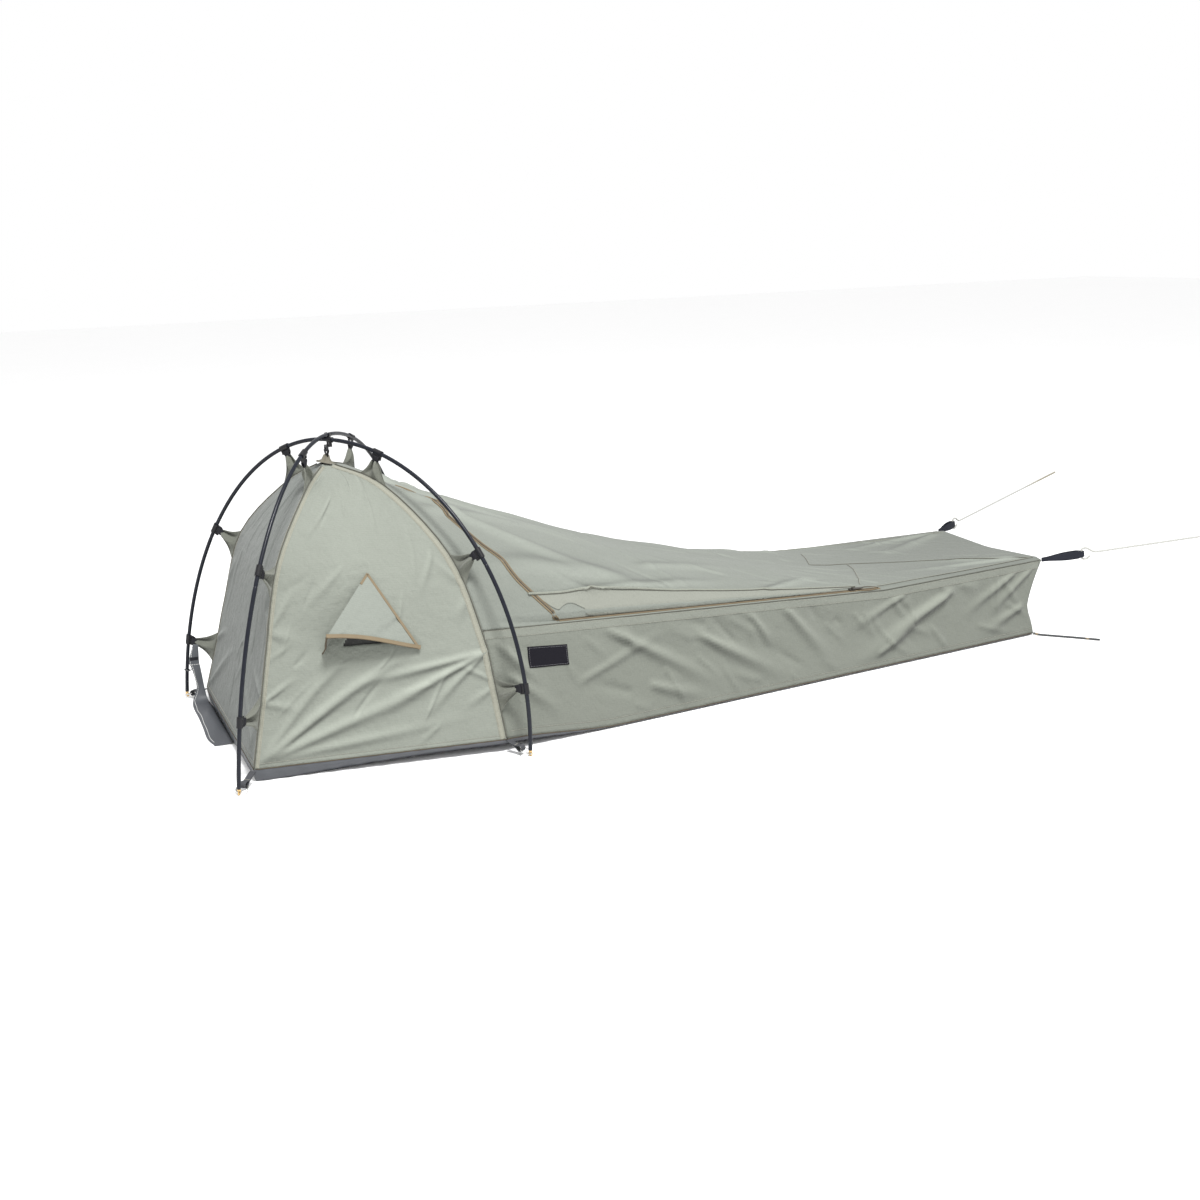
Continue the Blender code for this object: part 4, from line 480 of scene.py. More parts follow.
# %% Dome panels
DOME_ROWS = DOME_COLUMNS = 130
CANVAS_THICKNESS = 0.0012
EDGE = 0.0006
BODY_MIDDLE = np.array((-0.75, 0.0, 0.10))
PAINTED_SHADE_DEPTH = 0.75
NEAR_LOW_CORNER, NEAR_HIGH_CORNER = (0.015, 0.012), (0.995, 0.34)
NEAR_CREASES = [
    (NEAR_LOW_CORNER, (0.70, 0.40), 0.020, 0.0095), (NEAR_LOW_CORNER, (0.84, 0.24), 0.018, 0.0075),
    (NEAR_LOW_CORNER, (0.50, 0.52), 0.022, 0.0060), (NEAR_LOW_CORNER, (0.95, 0.10), 0.014, 0.0045),
    (NEAR_HIGH_CORNER, (0.42, 0.10), 0.017, 0.0085), (NEAR_HIGH_CORNER, (0.62, 0.06), 0.015, 0.0060),
    (NEAR_HIGH_CORNER, (0.30, 0.22), 0.018, 0.0060),
]
NEAR_CREASES += [(start, end, 0.013, 0.0050) for start, end in (
    ((0.0, 0.19), (0.16, 0.30)), ((0.0, 0.19), (0.18, 0.16)), ((0.0, 0.45), (0.13, 0.56)),
    ((0.0, 0.45), (0.15, 0.42)), ((1.0, 0.19), (0.84, 0.12)), ((1.0, 0.21), (0.83, 0.30)),
    ((1.0, 0.50), (0.88, 0.44)), ((1.0, 0.52), (0.86, 0.60)))]
PLAIN_CREASES = [(start, end, 0.018, 0.0052) for start, end in (
    ((0.0, 0.20), (0.22, 0.30)), ((0.0, 0.46), (0.18, 0.56)), ((1.0, 0.20), (0.78, 0.30)),
    ((1.0, 0.46), (0.82, 0.56)), ((0.01, 0.02), (0.46, 0.28)), ((0.99, 0.02), (0.54, 0.28)))]


def scattered(u, v, seed, count, heading, reaches, width, height):
    """Small straight creases thrown over a cloth, near one heading in degrees."""
    draw = np.random.default_rng(seed)
    total = np.zeros(u.shape)
    for _ in range(count):
        a, b = draw.uniform(0.04, 0.96) * u.max(), draw.uniform(0.04, 0.96)
        turn = math.radians(heading + draw.uniform(-28, 28))
        reach = draw.uniform(*reaches) * (1 if draw.uniform() < 0.5 else -1)
        end = (a + reach * math.cos(turn), b + reach * math.sin(turn))
        sign = 1 if draw.uniform() < 0.7 else -1
        wide, high = width * draw.uniform(0.7, 1.4), height * draw.uniform(0.5, 1.2)
        total += sign * crease(u, v, (a, b), end, wide, high)
    return total


def painted_fold_shade(push, grid, axis=0, sign=-1.0):
    """Painted shade and highlight of a fold, as if lit from above: a value over 0.5 where the fold faces up
    and under 0.5 on its under side.
    """
    step = np.linalg.norm(np.gradient(grid, axis=axis), axis=-1)
    return 0.5 + sign * PAINTED_SHADE_DEPTH * np.gradient(push, axis=axis) / np.maximum(step, 1e-5)


def dome_panel(left, right, belly, creases, *small):
    """A panel's outer points between two corner seams, from the hem to the crown, and the painted shade of
    its folds.
    """
    middle = (SEAMS[left][0] + SEAMS[right][0]) / 2
    level, share = share_grid(DOME_ROWS, DOME_COLUMNS)
    edges = []
    for corner in (left, right):
        plane = pole_plane(corner)
        edges.append(at_share(SEAMS[corner], level) + plane * np.sign((middle - CROSSING) @ plane) * EDGE)
    grid = edges[0] + (edges[1] - edges[0]) * share[..., None]
    push = belly * window(share) * window(level)
    for crease_row in creases:
        push += crease(share, level, *crease_row)
    push += scattered(share, level, *small)
    push = push * window(0.02 + share * 0.96) ** 0.35 * ease(level * 22) * ease((1 - level) * 14)
    return grid + unit(middle - CROSSING) * push[..., None], painted_fold_shade(push, grid)


PLAIN_SMALL = (23, 26, 62, (0.10, 0.30), 0.012, 0.0028)
DOME = {
    "near": dome_panel("near_head", "near_mid", 0.006, NEAR_CREASES, 11, 34, 38, (0.10, 0.34), 0.011, 0.0030),
    "head": dome_panel("far_head", "near_head", 0.005, PLAIN_CREASES, *PLAIN_SMALL),
    "far": dome_panel("far_mid", "far_head", 0.005, PLAIN_CREASES, *PLAIN_SMALL),
}
grids = {name: grid for name, (grid, painted_shade) in DOME.items()}

VENT_TOP = np.array((-0.788, -0.255, 0.414))
VENT_RIGHT = np.array((-0.700, -0.327, 0.246))
VENT_LEFT = np.array((-0.907, -0.286, 0.254))
VENT_OUT = unit((-0.175, -0.935, 0.309))


def vent_share(points):
    """Places in the vent's triangle: along its base and up to its top corner."""
    base, rise = VENT_RIGHT - VENT_LEFT, VENT_TOP - VENT_LEFT
    flat = [way - VENT_OUT * (way @ VENT_OUT) for way in (base, rise)]
    return (points - VENT_LEFT) @ np.linalg.inv(np.stack((*flat, VENT_OUT), 1)).T


def vent_hole(grid):
    """Which cells of the near panel's grid lie in the vent's opening."""
    share = vent_share((grid[:-1, :-1] + grid[1:, 1:]) / 2)
    along, up = share[..., 0], share[..., 1]
    return (up > 0.10) & (up < 0.60) & (along > 0.16) & (along + up < 0.86) & (along > 0.12 + 0.1 * up)


panels = {}
DOME_PANELS = ("near", "near_head", canvas), ("head", "head_end", shaded_head_end_cloth), ("far", "far_head", canvas)
for name, node, cloth in DOME_PANELS:
    grid, painted_shade = DOME[name]
    hole = vent_hole(grid) if name == "near" else None
    panels[name] = sheet_object(f"{node}_canvas", grid, CANVAS_THICKNESS, cloth, BODY_MIDDLE, hole, painted_shade)
    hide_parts(f"{node}_panel")
print("dome panels:", {name: len(piece.data.polygons) for name, piece in panels.items()})

# %% [markdown]
# ## Roof and side wall
# The roof is one long cloth from the crossed poles down to the foot end. It falls steeply behind the
# dome, then lies almost level. The side wall is a strip that runs round the tunnel, from the near
# corner seam round the foot end to the far one, and it hangs a little slack.

# %% Roof and wall shapes
FOOT_TOP_X, FOOT_TOP_HALF, FOOT_TOP_Z = 1.125, 0.229, 0.205
FOOT_BASE_X, FOOT_BASE_HALF, FOOT_WAIST_X = 1.085, 0.255, 1.070
WALL_LOW_X, WALL_LOW_Z, WALL_DOME_Z = 0.575, 0.199, 0.272
BAND_WIDTH, BAND_RISE, ZIP_CORNER_X = 0.022, 0.005, -0.373
MIDDLE_SEAM = SEAMS["near_mid"]
MIDDLE_PLANE = pole_plane("near_mid")
EDGE_LEVEL = share_at_height(MIDDLE_SEAM, WALL_DOME_Z)
BAND_LEVEL = share_at_height(MIDDLE_SEAM, WALL_DOME_Z + 0.020)
SEAM_OFFSET = MIDDLE_PLANE * 0.0013
ROOF_START = at_share(MIDDLE_SEAM, EDGE_LEVEL) + SEAM_OFFSET


def roof_edge(x):
    """The near edge of the roof at places along the tent."""
    x = np.asarray(x, float)
    part = (x - ROOF_START[0]) / (FOOT_TOP_X - ROOF_START[0])
    y = ROOF_START[1] + (-FOOT_TOP_HALF - ROOF_START[1]) * part
    fall = WALL_LOW_Z + (ROOF_START[2] - WALL_LOW_Z) * (WALL_LOW_X - x) / (WALL_LOW_X - ROOF_START[0])
    rise = WALL_LOW_Z + (FOOT_TOP_Z - WALL_LOW_Z) * (x - WALL_LOW_X) / (FOOT_TOP_X - WALL_LOW_X)
    return np.stack((x, y, np.where(x < WALL_LOW_X, fall, rise)), -1)


def edge_x(share):
    """The place along the tent of a share of the roof's edge."""
    return ROOF_START[0] + (FOOT_TOP_X - ROOF_START[0]) * share


def roof_band(share):
    """The inner side of the narrow band along the roof's edge, where the zip is sewn."""
    first = at_share(MIDDLE_SEAM, BAND_LEVEL) + SEAM_OFFSET
    blend = ease((edge_x(share) - ROOF_START[0]) / (ZIP_CORNER_X - ROOF_START[0]))
    x = first[0] + (FOOT_TOP_X - first[0]) * share
    edge = roof_edge(np.maximum(x, ROOF_START[0]))
    side = (first[1] - ROOF_START[1]) * (1 - blend) + BAND_WIDTH * blend
    rise = (first[2] - ROOF_START[2]) * (1 - blend) + BAND_RISE * blend
    made = np.stack((x, edge[..., 1] + side, edge[..., 2] + rise), -1)
    return np.where((share == 0)[..., None], first, made)


def roof_slope(part, share):
    """The roof from the band (part 0) to its middle line (part 1)."""
    first = at_share(MIDDLE_SEAM, BAND_LEVEL + (1 - BAND_LEVEL) * part) + SEAM_OFFSET
    last_y = -FOOT_TOP_HALF + BAND_WIDTH + part * (FOOT_TOP_HALF - BAND_WIDTH) * 0.93
    x = first[..., 0] + (FOOT_TOP_X - first[..., 0]) * share
    slope = (WALL_LOW_Z - ROOF_START[2]) / (WALL_LOW_X - ROOF_START[0])
    base = np.where(x > WALL_LOW_X, roof_edge(x)[..., 2], ROOF_START[2] + slope * (x - ROOF_START[0]))
    rise = (first[..., 2] - ROOF_START[2] - slope * (first[..., 0] - ROOF_START[0])) * (1 - share) ** 2.4
    ripple = 0.0012 * np.sin(x * 34 + part * 7) * window(part) * window(share)
    crest = BAND_RISE * (1 - part) * ease(share * 6)
    y = first[..., 1] + (last_y - first[..., 1]) * share
    return np.stack((x, y, base + rise + crest - 0.005 * part * share + ripple), -1)


ROOF_ROWS, BAND_COLUMNS, SLOPE_COLUMNS = 240, 4, 52


def roof_grid():
    """The roof's points from its near edge to its far edge, in rows along the tent."""
    share = np.linspace(0, 1, ROOF_ROWS + 1)
    across = np.arange(BAND_COLUMNS)[None, :, None] / BAND_COLUMNS
    left = roof_edge(edge_x(share))[:, None] * (1 - across) + roof_band(share)[:, None] * across
    along, part = share_grid(ROOF_ROWS, SLOPE_COLUMNS)
    near = np.concatenate((left, roof_slope(part, along)), axis=1)
    middle = (near[:, -1:] + near[:, -1:] * MIRROR) / 2
    return np.concatenate((near, middle, near[:, ::-1] * MIRROR), axis=1)


def waist(level):
    """The foot corner draws in between its base and its top."""
    low = FOOT_BASE_X + (FOOT_WAIST_X - FOOT_BASE_X) * ease(level / 0.4)
    high = FOOT_WAIST_X + (FOOT_TOP_X - FOOT_WAIST_X) * np.maximum((level - 0.4) / 0.6, 0) ** 1.3
    return np.where(level < 0.4, low, high)


def wall_surface(share, level):
    """The near wall from the hem (level 0) to the roof edge (level 1)."""
    drop = UP * (CANVAS_THICKNESS + GAP)
    seam = at_share(MIDDLE_SEAM, EDGE_LEVEL * level) + SEAM_OFFSET
    low = MIDDLE_SEAM[0] + SEAM_OFFSET
    top = roof_edge(edge_x(share)) - drop
    base_x = low[0] + (FOOT_BASE_X - low[0]) * share
    hem = HEM + (0.006 - HEM) * ease((base_x - MIDDLE_SEAM[0][0]) / 0.300)
    base = np.stack((base_x, low[1] + (-FOOT_BASE_HALF - low[1]) * share, hem), -1)
    lift, along = level[..., None], share[..., None]
    point = base + (top - base) * lift
    straight = low + (ROOF_START - drop - low) * lift
    point = point + (seam - UP * (drop[2] * lift) - straight) * (1 - along) ** 4
    point[..., 0] += (waist(level) - (FOOT_BASE_X + (FOOT_TOP_X - FOOT_BASE_X) * level)) * share**6
    point[..., 1] += 0.010 * window(share) ** 0.5 * window(level)
    point[..., 1] += 0.003 * np.sin(share * 40 + level * 6) * window(share) * window(level)
    return point


WALL_COLUMNS, FOOT_COLUMNS, WALL_LEVELS = 230, 60, 32


def wall_grid():
    """The wall's points from the near corner seam round the foot end to the far one."""
    level, share = share_grid(WALL_LEVELS, WALL_COLUMNS)
    near = wall_surface(share, level)
    corner = near[:, -1]
    across = np.linspace(-1, 1, FOOT_COLUMNS + 1)[None, 1:-1]
    sag = -0.005 * (1 - np.abs(across)) * level[:, :1] ** 2
    foot = np.stack((corner[:, :1] + 0 * across, -corner[:, 1:2] * across, corner[:, 2:] + sag), -1)
    return np.concatenate((near, foot, near[:, ::-1] * MIRROR), axis=1)


# %% [markdown]
# The creases are listed one by one: a dark soft fold runs down the near slope behind the dome, the far
# ridge puckers along its sewn band, and the slack wall crumples in short slanting folds.

# %% Roof and wall cloth
ROOF_CREASES = (((0.02, 0.34), (0.30, 0.10), 0.016, 0.0070), ((0.03, 0.52), (0.33, 0.30), 0.018, 0.0050),
                ((0.02, 0.72), (0.26, 0.60), 0.016, 0.0040), ((0.16, 0.10), (0.44, 0.17), 0.014, 0.0040),
                ((0.98, 0.06), (0.74, 0.26), 0.016, 0.0045), ((0.97, 0.10), (0.80, 0.46), 0.018, 0.0040),
                ((0.46, 0.08), (0.62, 0.24), 0.015, 0.0030), ((0.30, 0.22), (0.50, 0.30), 0.018, 0.0030))
WALL_CREASES = ((0.01, 0.95, 0.08, 0.30, 0.030, 0.0040), (0.02, 0.55, 0.10, 0.12, 0.030, 0.0036),
                (0.18, 0.92, 0.39, 0.06, 0.034, 0.0046), (0.13, 0.42, 0.29, 0.86, 0.020, 0.0026),
                (0.33, 0.74, 0.50, 0.04, 0.036, 0.0050), (0.24, 0.30, 0.34, 0.06, 0.028, 0.0036),
                (0.48, 0.96, 0.58, 0.10, 0.034, 0.0042), (0.42, 0.90, 0.47, 0.45, 0.026, 0.0030),
                (0.81, 0.80, 0.61, 0.02, 0.050, 0.0075), (0.72, 0.92, 0.60, 0.50, 0.028, 0.0034),
                (0.95, 0.92, 0.84, 0.38, 0.032, 0.0046), (0.99, 0.96, 0.90, 0.30, 0.030, 0.0046),
                (0.99, 0.42, 0.88, 0.12, 0.030, 0.0042), (0.66, 0.15, 0.74, 0.45, 0.026, 0.0030))
SLOPE_FOLD = ((-0.500, -0.272), (-0.412, -0.258), (-0.338, -0.256), (-0.235, -0.254), (-0.150, -0.262))
ROOF_GAIN, WALL_GAIN = 1.8, 1.9
WALL_STRETCH = 7.0


def fold_along(grid, places, width, height):
    """A soft ridge over a line of places on the plan, fading to both of its ends."""
    line = smooth_line([(x, y, 0.0) for x, y in places], 12)[:, :2]
    gaps = np.linalg.norm(grid[..., None, :2] - line, axis=-1)
    share = np.argmin(gaps, axis=-1) / (len(line) - 1)
    return height * window(0.04 + 0.92 * share) ** 0.7 * np.exp(-((gaps.min(-1) / width) ** 2))


def pushed(grid, push, inside):
    """A grid moved outwards by the push at each of its points."""
    return grid + grid_normals(grid, inside) * push[..., None]


roof = roof_grid()
along, across = share_grid(roof.shape[0] - 1, roof.shape[1] - 1)
push = np.zeros(along.shape)
for side in (across, 1 - across):
    for start, end, width, height in ROOF_CREASES:
        push += crease(along, side, start, end, width, height * ROOF_GAIN)
pucker = window(along * 1.05) * np.exp(-(((across - 0.945) / 0.018) ** 2))
push += 0.0024 * np.sin(along * 330) * pucker
push += fold_along(roof, SLOPE_FOLD, 0.016, 0.0110)
push += scattered(along * 3.2, across, 31, 70, 150, (0.12, 0.40), 0.014, 0.0034)
push *= ease(along * 30) * ease((1 - along) * 40) * ease((across - 0.036) * 14) * ease((0.964 - across) * 14)
# Painted shade and highlight from the slope of the roof's folds; the colour also darkens towards the foot
# end.
roof_painted_shade = painted_fold_shade(push, roof, 1, 1.0) - 0.14 * ease((along - 0.55) / 0.35)
roof_inside = roof - UP * 0.3
roof = pushed(roof, push, roof_inside)
roof_canvas = sheet_object("roof_canvas", roof, CANVAS_THICKNESS, shaded_roof_cloth, roof_inside, painted_shade=roof_painted_shade)
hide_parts("roof_panel")

wall = wall_grid()
push = np.zeros(wall.shape[:2])
level, share = share_grid(WALL_LEVELS, WALL_COLUMNS)
held = ease(share * 60) * ease((1 - share) * 40) * ease(level * 6) * ease((1 - level) * 6)
folds = np.zeros(level.shape)
for a, b, c, d, width, height in WALL_CREASES:
    start, end = (a * WALL_STRETCH, b), (c * WALL_STRETCH, d)
    folds += crease(share * WALL_STRETCH, level, start, end, width * WALL_GAIN, height * WALL_GAIN)
folds *= held
folds += scattered(share * WALL_STRETCH, level, 47, 54, -48, (0.30, 0.90), 0.044, 0.0030) * held
push[:, :WALL_COLUMNS + 1] = folds
push[:, -WALL_COLUMNS - 1:] = folds[:, ::-1] * 0.8
wall_inside = np.stack((wall[..., 0] - 0.15, np.zeros(wall.shape[:2]), wall[..., 2]), -1)
# Painted shade and highlight from the slope of the wall's folds.
wall_painted_shade = painted_fold_shade(push, wall)
wall = pushed(wall, push, wall_inside)
# The wall takes a darker copy of the canvas, as painted shade.
shaded_wall_cloth = canvas_finish("canvas_wall_painted_shade", (0.150, 0.160, 0.136), (0.114, 0.122, 0.103), fold_shade_painted=True)
wall_canvas = sheet_object("side_wall_canvas", wall, CANVAS_THICKNESS, shaded_wall_cloth, wall_inside,
                           painted_shade=wall_painted_shade)
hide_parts("side_wall")
print("roof and wall faces:", len(roof_canvas.data.polygons), len(wall_canvas.data.polygons))

# %% [markdown]
# ## Ropes and cords
# A cord is a fixed length of something bendable, so its route comes first and its skin second. Each
# guy rope is hitched through the bight of a webbing loop and pulled straight. The rope's skin is one
# tube with a lobed section that turns along it, which gives three laid strands without any overlap.


# %% Tube along a route
def frames_along(path):
    """Unit direction and two cross directions at each point of a path, with no sudden turn."""
    run = unit(np.gradient(path, axis=0))
    first = np.cross(run[0], Z if abs(run[0][2]) < 0.9 else (1.0, 0.0, 0.0))
    sides = [unit(first)]
    for way in run[1:]:
        side = sides[-1] - way * np.dot(sides[-1], way)
        sides.append(unit(side))
    sides = np.array(sides)
    return run, sides, np.cross(run, sides)


def tube_object(name, path, radius, finish, sides=12):
    """A closed tube. The radius is a number, or a function of length along and angle round it."""
    path = np.asarray(path, float)
    _, side, rise = frames_along(path)
    total = lengths(path)
    angles = np.linspace(0, 2 * np.pi, sides, endpoint=False)
    along, around = np.meshgrid(total, angles, indexing="ij")
    reach = radius(along, around) if callable(radius) else np.full(along.shape, radius)
    points = (path[:, None] + side[:, None] * (np.cos(around) * reach)[..., None]
              + rise[:, None] * (np.sin(around) * reach)[..., None])
    faces, cut = [], []
    for i in range(len(path) - 1):
        for j in range(sides):
            ahead = (j + 1) % sides
            faces.append((i * sides + j, i * sides + ahead, (i + 1) * sides + ahead, (i + 1) * sides + j))
            cut += [(j / sides, total[i]), ((j + 1) / sides, total[i]),
                    ((j + 1) / sides, total[i + 1]), (j / sides, total[i + 1])]
    last = (len(path) - 1) * sides
    faces += [tuple(range(sides))[::-1], tuple(last + j for j in range(sides))]
    cut += [(j / sides, 0.0) for j in range(sides)] + [(j / sides, total[-1]) for j in range(sides)]
    piece = mesh_object(name, points, faces, finish)
    layer = piece.data.uv_layers.new(name="cut")
    layer.data.foreach_set("uv", np.array(cut).ravel())
    return piece


def laid_strands(radius, count, pitch):
    """The radius of a laid rope: lobes that turn once in a pitch."""
    def reach(along, around):
        return radius * (0.80 + 0.20 * np.abs(np.cos(count / 2 * (around - 2 * np.pi * along / pitch))))
    return reach


# %% [markdown]
# The ropes are white with a brown-stained last part. The peg cords are dark, with light flecks that
# the braid brings to the surface at a steady pitch.


# %% Rope and cord finishes
def between(finish, value, low, high):
    """0 below low, 1 above high, and an even slope between."""
    return finish.node("ShaderNodeMapRange", {}, value, low, high)


def cord_finish(name, light, dark, stain, stained_from, lay_length, strands):
    """Laid strands that are stained from a place along the cord."""
    made = Finish(name, roughness=0.85, sheen_weight=0.15)
    around, along = made.cut()
    # The lay mixes dark and light along the strands: on the white rope and the tan whipping the dark part is
    # painted shade between strands; on the dark braid it gives the braid's own light flecks.
    lay_flecks_and_groove_shade = (around * float(strands) + along * (strands / lay_length)).wave(1.0)
    grain = made.noise(made.place(), 420.0, 2.0)
    shade = made.mix(grain * 0.35, made.mix(lay_flecks_and_groove_shade, dark, light), dark)
    worn = between(made, along, stained_from, stained_from + 0.12) * between(made, grain, 0.25, 0.60)
    made.set(base_color=made.mix(worn, shade, stain))
    made.relief(lay_flecks_and_groove_shade, 0.0006, 0.6)
    return made.material


rope_white = cord_finish("laid_white_rope", (0.52, 0.52, 0.50), (0.24, 0.24, 0.22), (0.16, 0.13, 0.06),
                         0.50, 0.014, 3)
cord_dark = cord_finish("dark_braid", (0.075, 0.080, 0.080), (0.012, 0.013, 0.016), (0.36, 0.28, 0.17),
                        9.0, 0.006, 4)
cord_tan = cord_finish("tan_whipping", (0.40, 0.31, 0.19), (0.16, 0.12, 0.07), (0.2, 0.2, 0.1), 9.0, 0.004, 2)


def webbing_finish(name, light, dark, roughness=0.72):
    """Flat woven webbing: ribs across it and a fine twill along it."""
    made = Finish(name, roughness=roughness, specular_ior_level=0.18)
    across, along = made.cut()
    ribs = (along + across * 0.4).wave(0.0022) * 0.6 + across.wave(0.0016) * 0.4
    soft = made.noise(made.place(), 30.0, 3.0)
    made.set(base_color=made.mix(ribs * 0.5 + soft * 0.5, dark, light))
    made.relief(ribs, 0.0005, 0.6)
    return made.material


webbing_black = webbing_finish("black_webbing", (0.018, 0.018, 0.022), (0.006, 0.006, 0.008))
webbing_blue = webbing_finish("loop_webbing", (0.016, 0.018, 0.027), (0.006, 0.007, 0.011))

# %% [markdown]
# The foot loops are webbing on edge. Each leaves its corner doubled, opens a little and closes round
# the bight that holds the rope. The rope's own route is the hitch and then six even steps outwards.

# %% Foot loops and guy ropes
ROPE_RADIUS, ROPE_STRANDS, ROPE_PITCH, ROPE_STEP = 0.003, 3, 0.014 * 3, 0.0016
LOOP_TIPS = {"near": (1.236, -0.273, 0.218), "far": (1.208, 0.262, 0.2145)}
ROPE_ENDS = {"near": (1.585, -0.410, 0.258), "far": (1.817, 0.502, 0.284)}
HITCH = ((0.0170, -0.0080), (0.0110, -0.0130), (0.0030, -0.0158), (-0.0030, -0.0148),
         (-0.0061, -0.0100), (-0.0061, 0.0100), (-0.0030, 0.0148), (0.0030, 0.0158),
         (0.0110, 0.0130), (0.0190, 0.0070), (0.0280, 0.0020), (0.0400, 0.0))
LOOP_HALF_HEIGHT, LOOP_WEB, LOOP_BIGHT = 0.011, 0.0016, 0.0045


def pull_line(side):
    """The loop's tip, the rope's direction, and the two directions across it."""
    tip = np.array(LOOP_TIPS[side])
    run = unit(np.array(ROPE_ENDS[side]) - tip)
    across = unit(np.cross(Z, run))
    return tip, run, across, np.cross(run, across)


def rope_route(side):
    """The rope's hitch in the loop, then its straight run."""
    tip, run, _, up = pull_line(side)
    points = [tip + run * step + up * rise for step, rise in HITCH]
    start, last = HITCH[-1][0], np.linalg.norm(np.array(ROPE_ENDS[side]) - tip)
    points += [tip + run * (start + (last - start) * k / 6) for k in range(1, 7)]
    return np.array(points)


def band_object(name, rings, cut, finish):
    """A closed strap from rings of points, with its flat coordinates."""
    rings = np.asarray(rings, float)
    count, sides = rings.shape[:2]
    faces = []
    for i in range(count - 1):
        for j in range(sides):
            k = (j + 1) % sides
            faces.append((i * sides + j, (i + 1) * sides + j, (i + 1) * sides + k, i * sides + k))
    last = (count - 1) * sides
    faces += [tuple(range(sides)), tuple(last + j for j in reversed(range(sides)))]
    piece = mesh_object(name, rings, faces, finish, cut)
    choose(piece)
    bpy.ops.object.mode_set(mode="EDIT")
    bpy.ops.mesh.select_all(action="SELECT")
    bpy.ops.mesh.normals_make_consistent(inside=False)
    bpy.ops.object.mode_set(mode="OBJECT")
    bpy.ops.object.shade_smooth_by_angle(angle=math.radians(40))
    return piece


SOFT_BOX = ((-1.0, -0.5), (-0.9, -1.0), (-0.45, -1.0), (0.0, -1.0), (0.45, -1.0), (0.9, -1.0), (1.0, -0.5),
            (1.0, 0.5), (0.9, 1.0), (0.45, 1.0), (0.0, 1.0), (-0.45, 1.0), (-0.9, 1.0), (-1.0, 0.5))


def strap_object(name, line, wide, half_width, half_thickness, finish, way=None):
    """A strap along a line: thin boxes with softened edges, turned so that their width lies along wide."""
    wide = np.broadcast_to(wide, line.shape)
    way = unit(np.gradient(line, axis=0)) if way is None else way
    thick = unit(np.cross(way, wide))
    half_width = np.broadcast_to(half_width, (len(line),))
    rings = [[point + w * a * half + t * b * half_thickness for a, b in SOFT_BOX]
             for point, w, t, half in zip(line, wide, thick, half_width)]
    across = np.array([[a * half for a, b in SOFT_BOX] for half in half_width])
    along = np.repeat(lengths(line)[:, None], len(SOFT_BOX), axis=1)
    return band_object(name, rings, (across, along), finish)


def there_and_back(one_way, turn):
    """An outline that goes out on one side, turns, and comes back on the other."""
    return one_way + turn + [(a, -b) for a, b in reversed(one_way)]


def foot_loop(side):
    """The webbing loop on edge, wide at its middle and drawn narrow at both ends."""
    tip, run, across, up = pull_line(side)
    corner = roof_edge(FOOT_TOP_X)[None][0] * SIDES[side]
    length = (tip - corner) @ run - 0.0007
    middle = LOOP_BIGHT + LOOP_WEB / 2
    one_way = [(-length, 0.0008), (-length * 0.93, 0.0010), (-length * 0.80, 0.0022),
               (-length * 0.60, 0.0050), (-length * 0.40, 0.0062), (-0.022, 0.0060), (-middle * 2, middle)]
    turn = [(-middle + middle * math.sin(a), middle * math.cos(a)) for a in np.radians(np.arange(0, 181, 15))]
    line = smooth_line([tip + run * a + across * b for a, b in there_and_back(one_way, turn)], 3)
    lean = np.array([0.10 * math.sin(3.0 * k / len(line)) for k in range(len(line))])[:, None]
    reach = ((line - corner) @ run) / length
    half = LOOP_HALF_HEIGHT * (0.52 + 0.48 * ease(reach * 1.5)) * (1 - 0.28 * ease((reach - 0.82) / 0.18))
    loop = strap_object(f"foot_webbing_{side}", line, unit(up + across * lean), half, LOOP_WEB / 2,
                        webbing_blue)
    attach(loop, node=f"foot_loop_{side}")


def declare_cord(piece, node, far_end):
    """Attach a cord in place of its CAD piece. far_end is not used."""
    attach(piece, node=node)


for side in SIDES:
    foot_loop(side)
    route = smooth_line(rope_route(side), 12)
    total = lengths(route)[-1]
    rope = tube_object(f"rope_{side}", at_length(route, np.linspace(0, total, int(total / ROPE_STEP))),
                       laid_strands(ROPE_RADIUS, ROPE_STRANDS, ROPE_PITCH), rope_white, 18)
    declare_cord(rope, f"guy_rope_{side}",
                 "knot" if side == "near" else "bare")

# %% Peg cords and the flap's tie
PEG_RADIUS, PEG_SPREAD = 0.0021, 0.0025
PEG_ROUTE = ((1.0854, -0.2554, 0.0054), (1.098, -0.2695, 0.0024), (1.108, -0.281, 0.0024),
             (1.126, -0.301, 0.0024), (1.149, -0.326, 0.0024), (1.170, -0.350, 0.0024),
             (1.190, -0.374, 0.0024), (1.200, -0.386, 0.0024))
TIE_RADIUS = 0.0012
TIE_CENTRE, TIE_END = np.array((-1.1187, 0.3705, 0.072)), np.array((-1.1135, 0.3155, 0.088))
PEG_BINDINGS = (("corner", 0.010, 0.010, 1.12, cord_tan), ("spot", 0.145, 0.011, 1.12, cord_tan),
                ("knot", 0.163, 0.012, 1.25, cord_dark))
BINDING_HEIGHTS = np.linspace(-0.5, 0.5, 9)
BINDING_TURNS = np.linspace(0, 2 * np.pi, 16, endpoint=False)


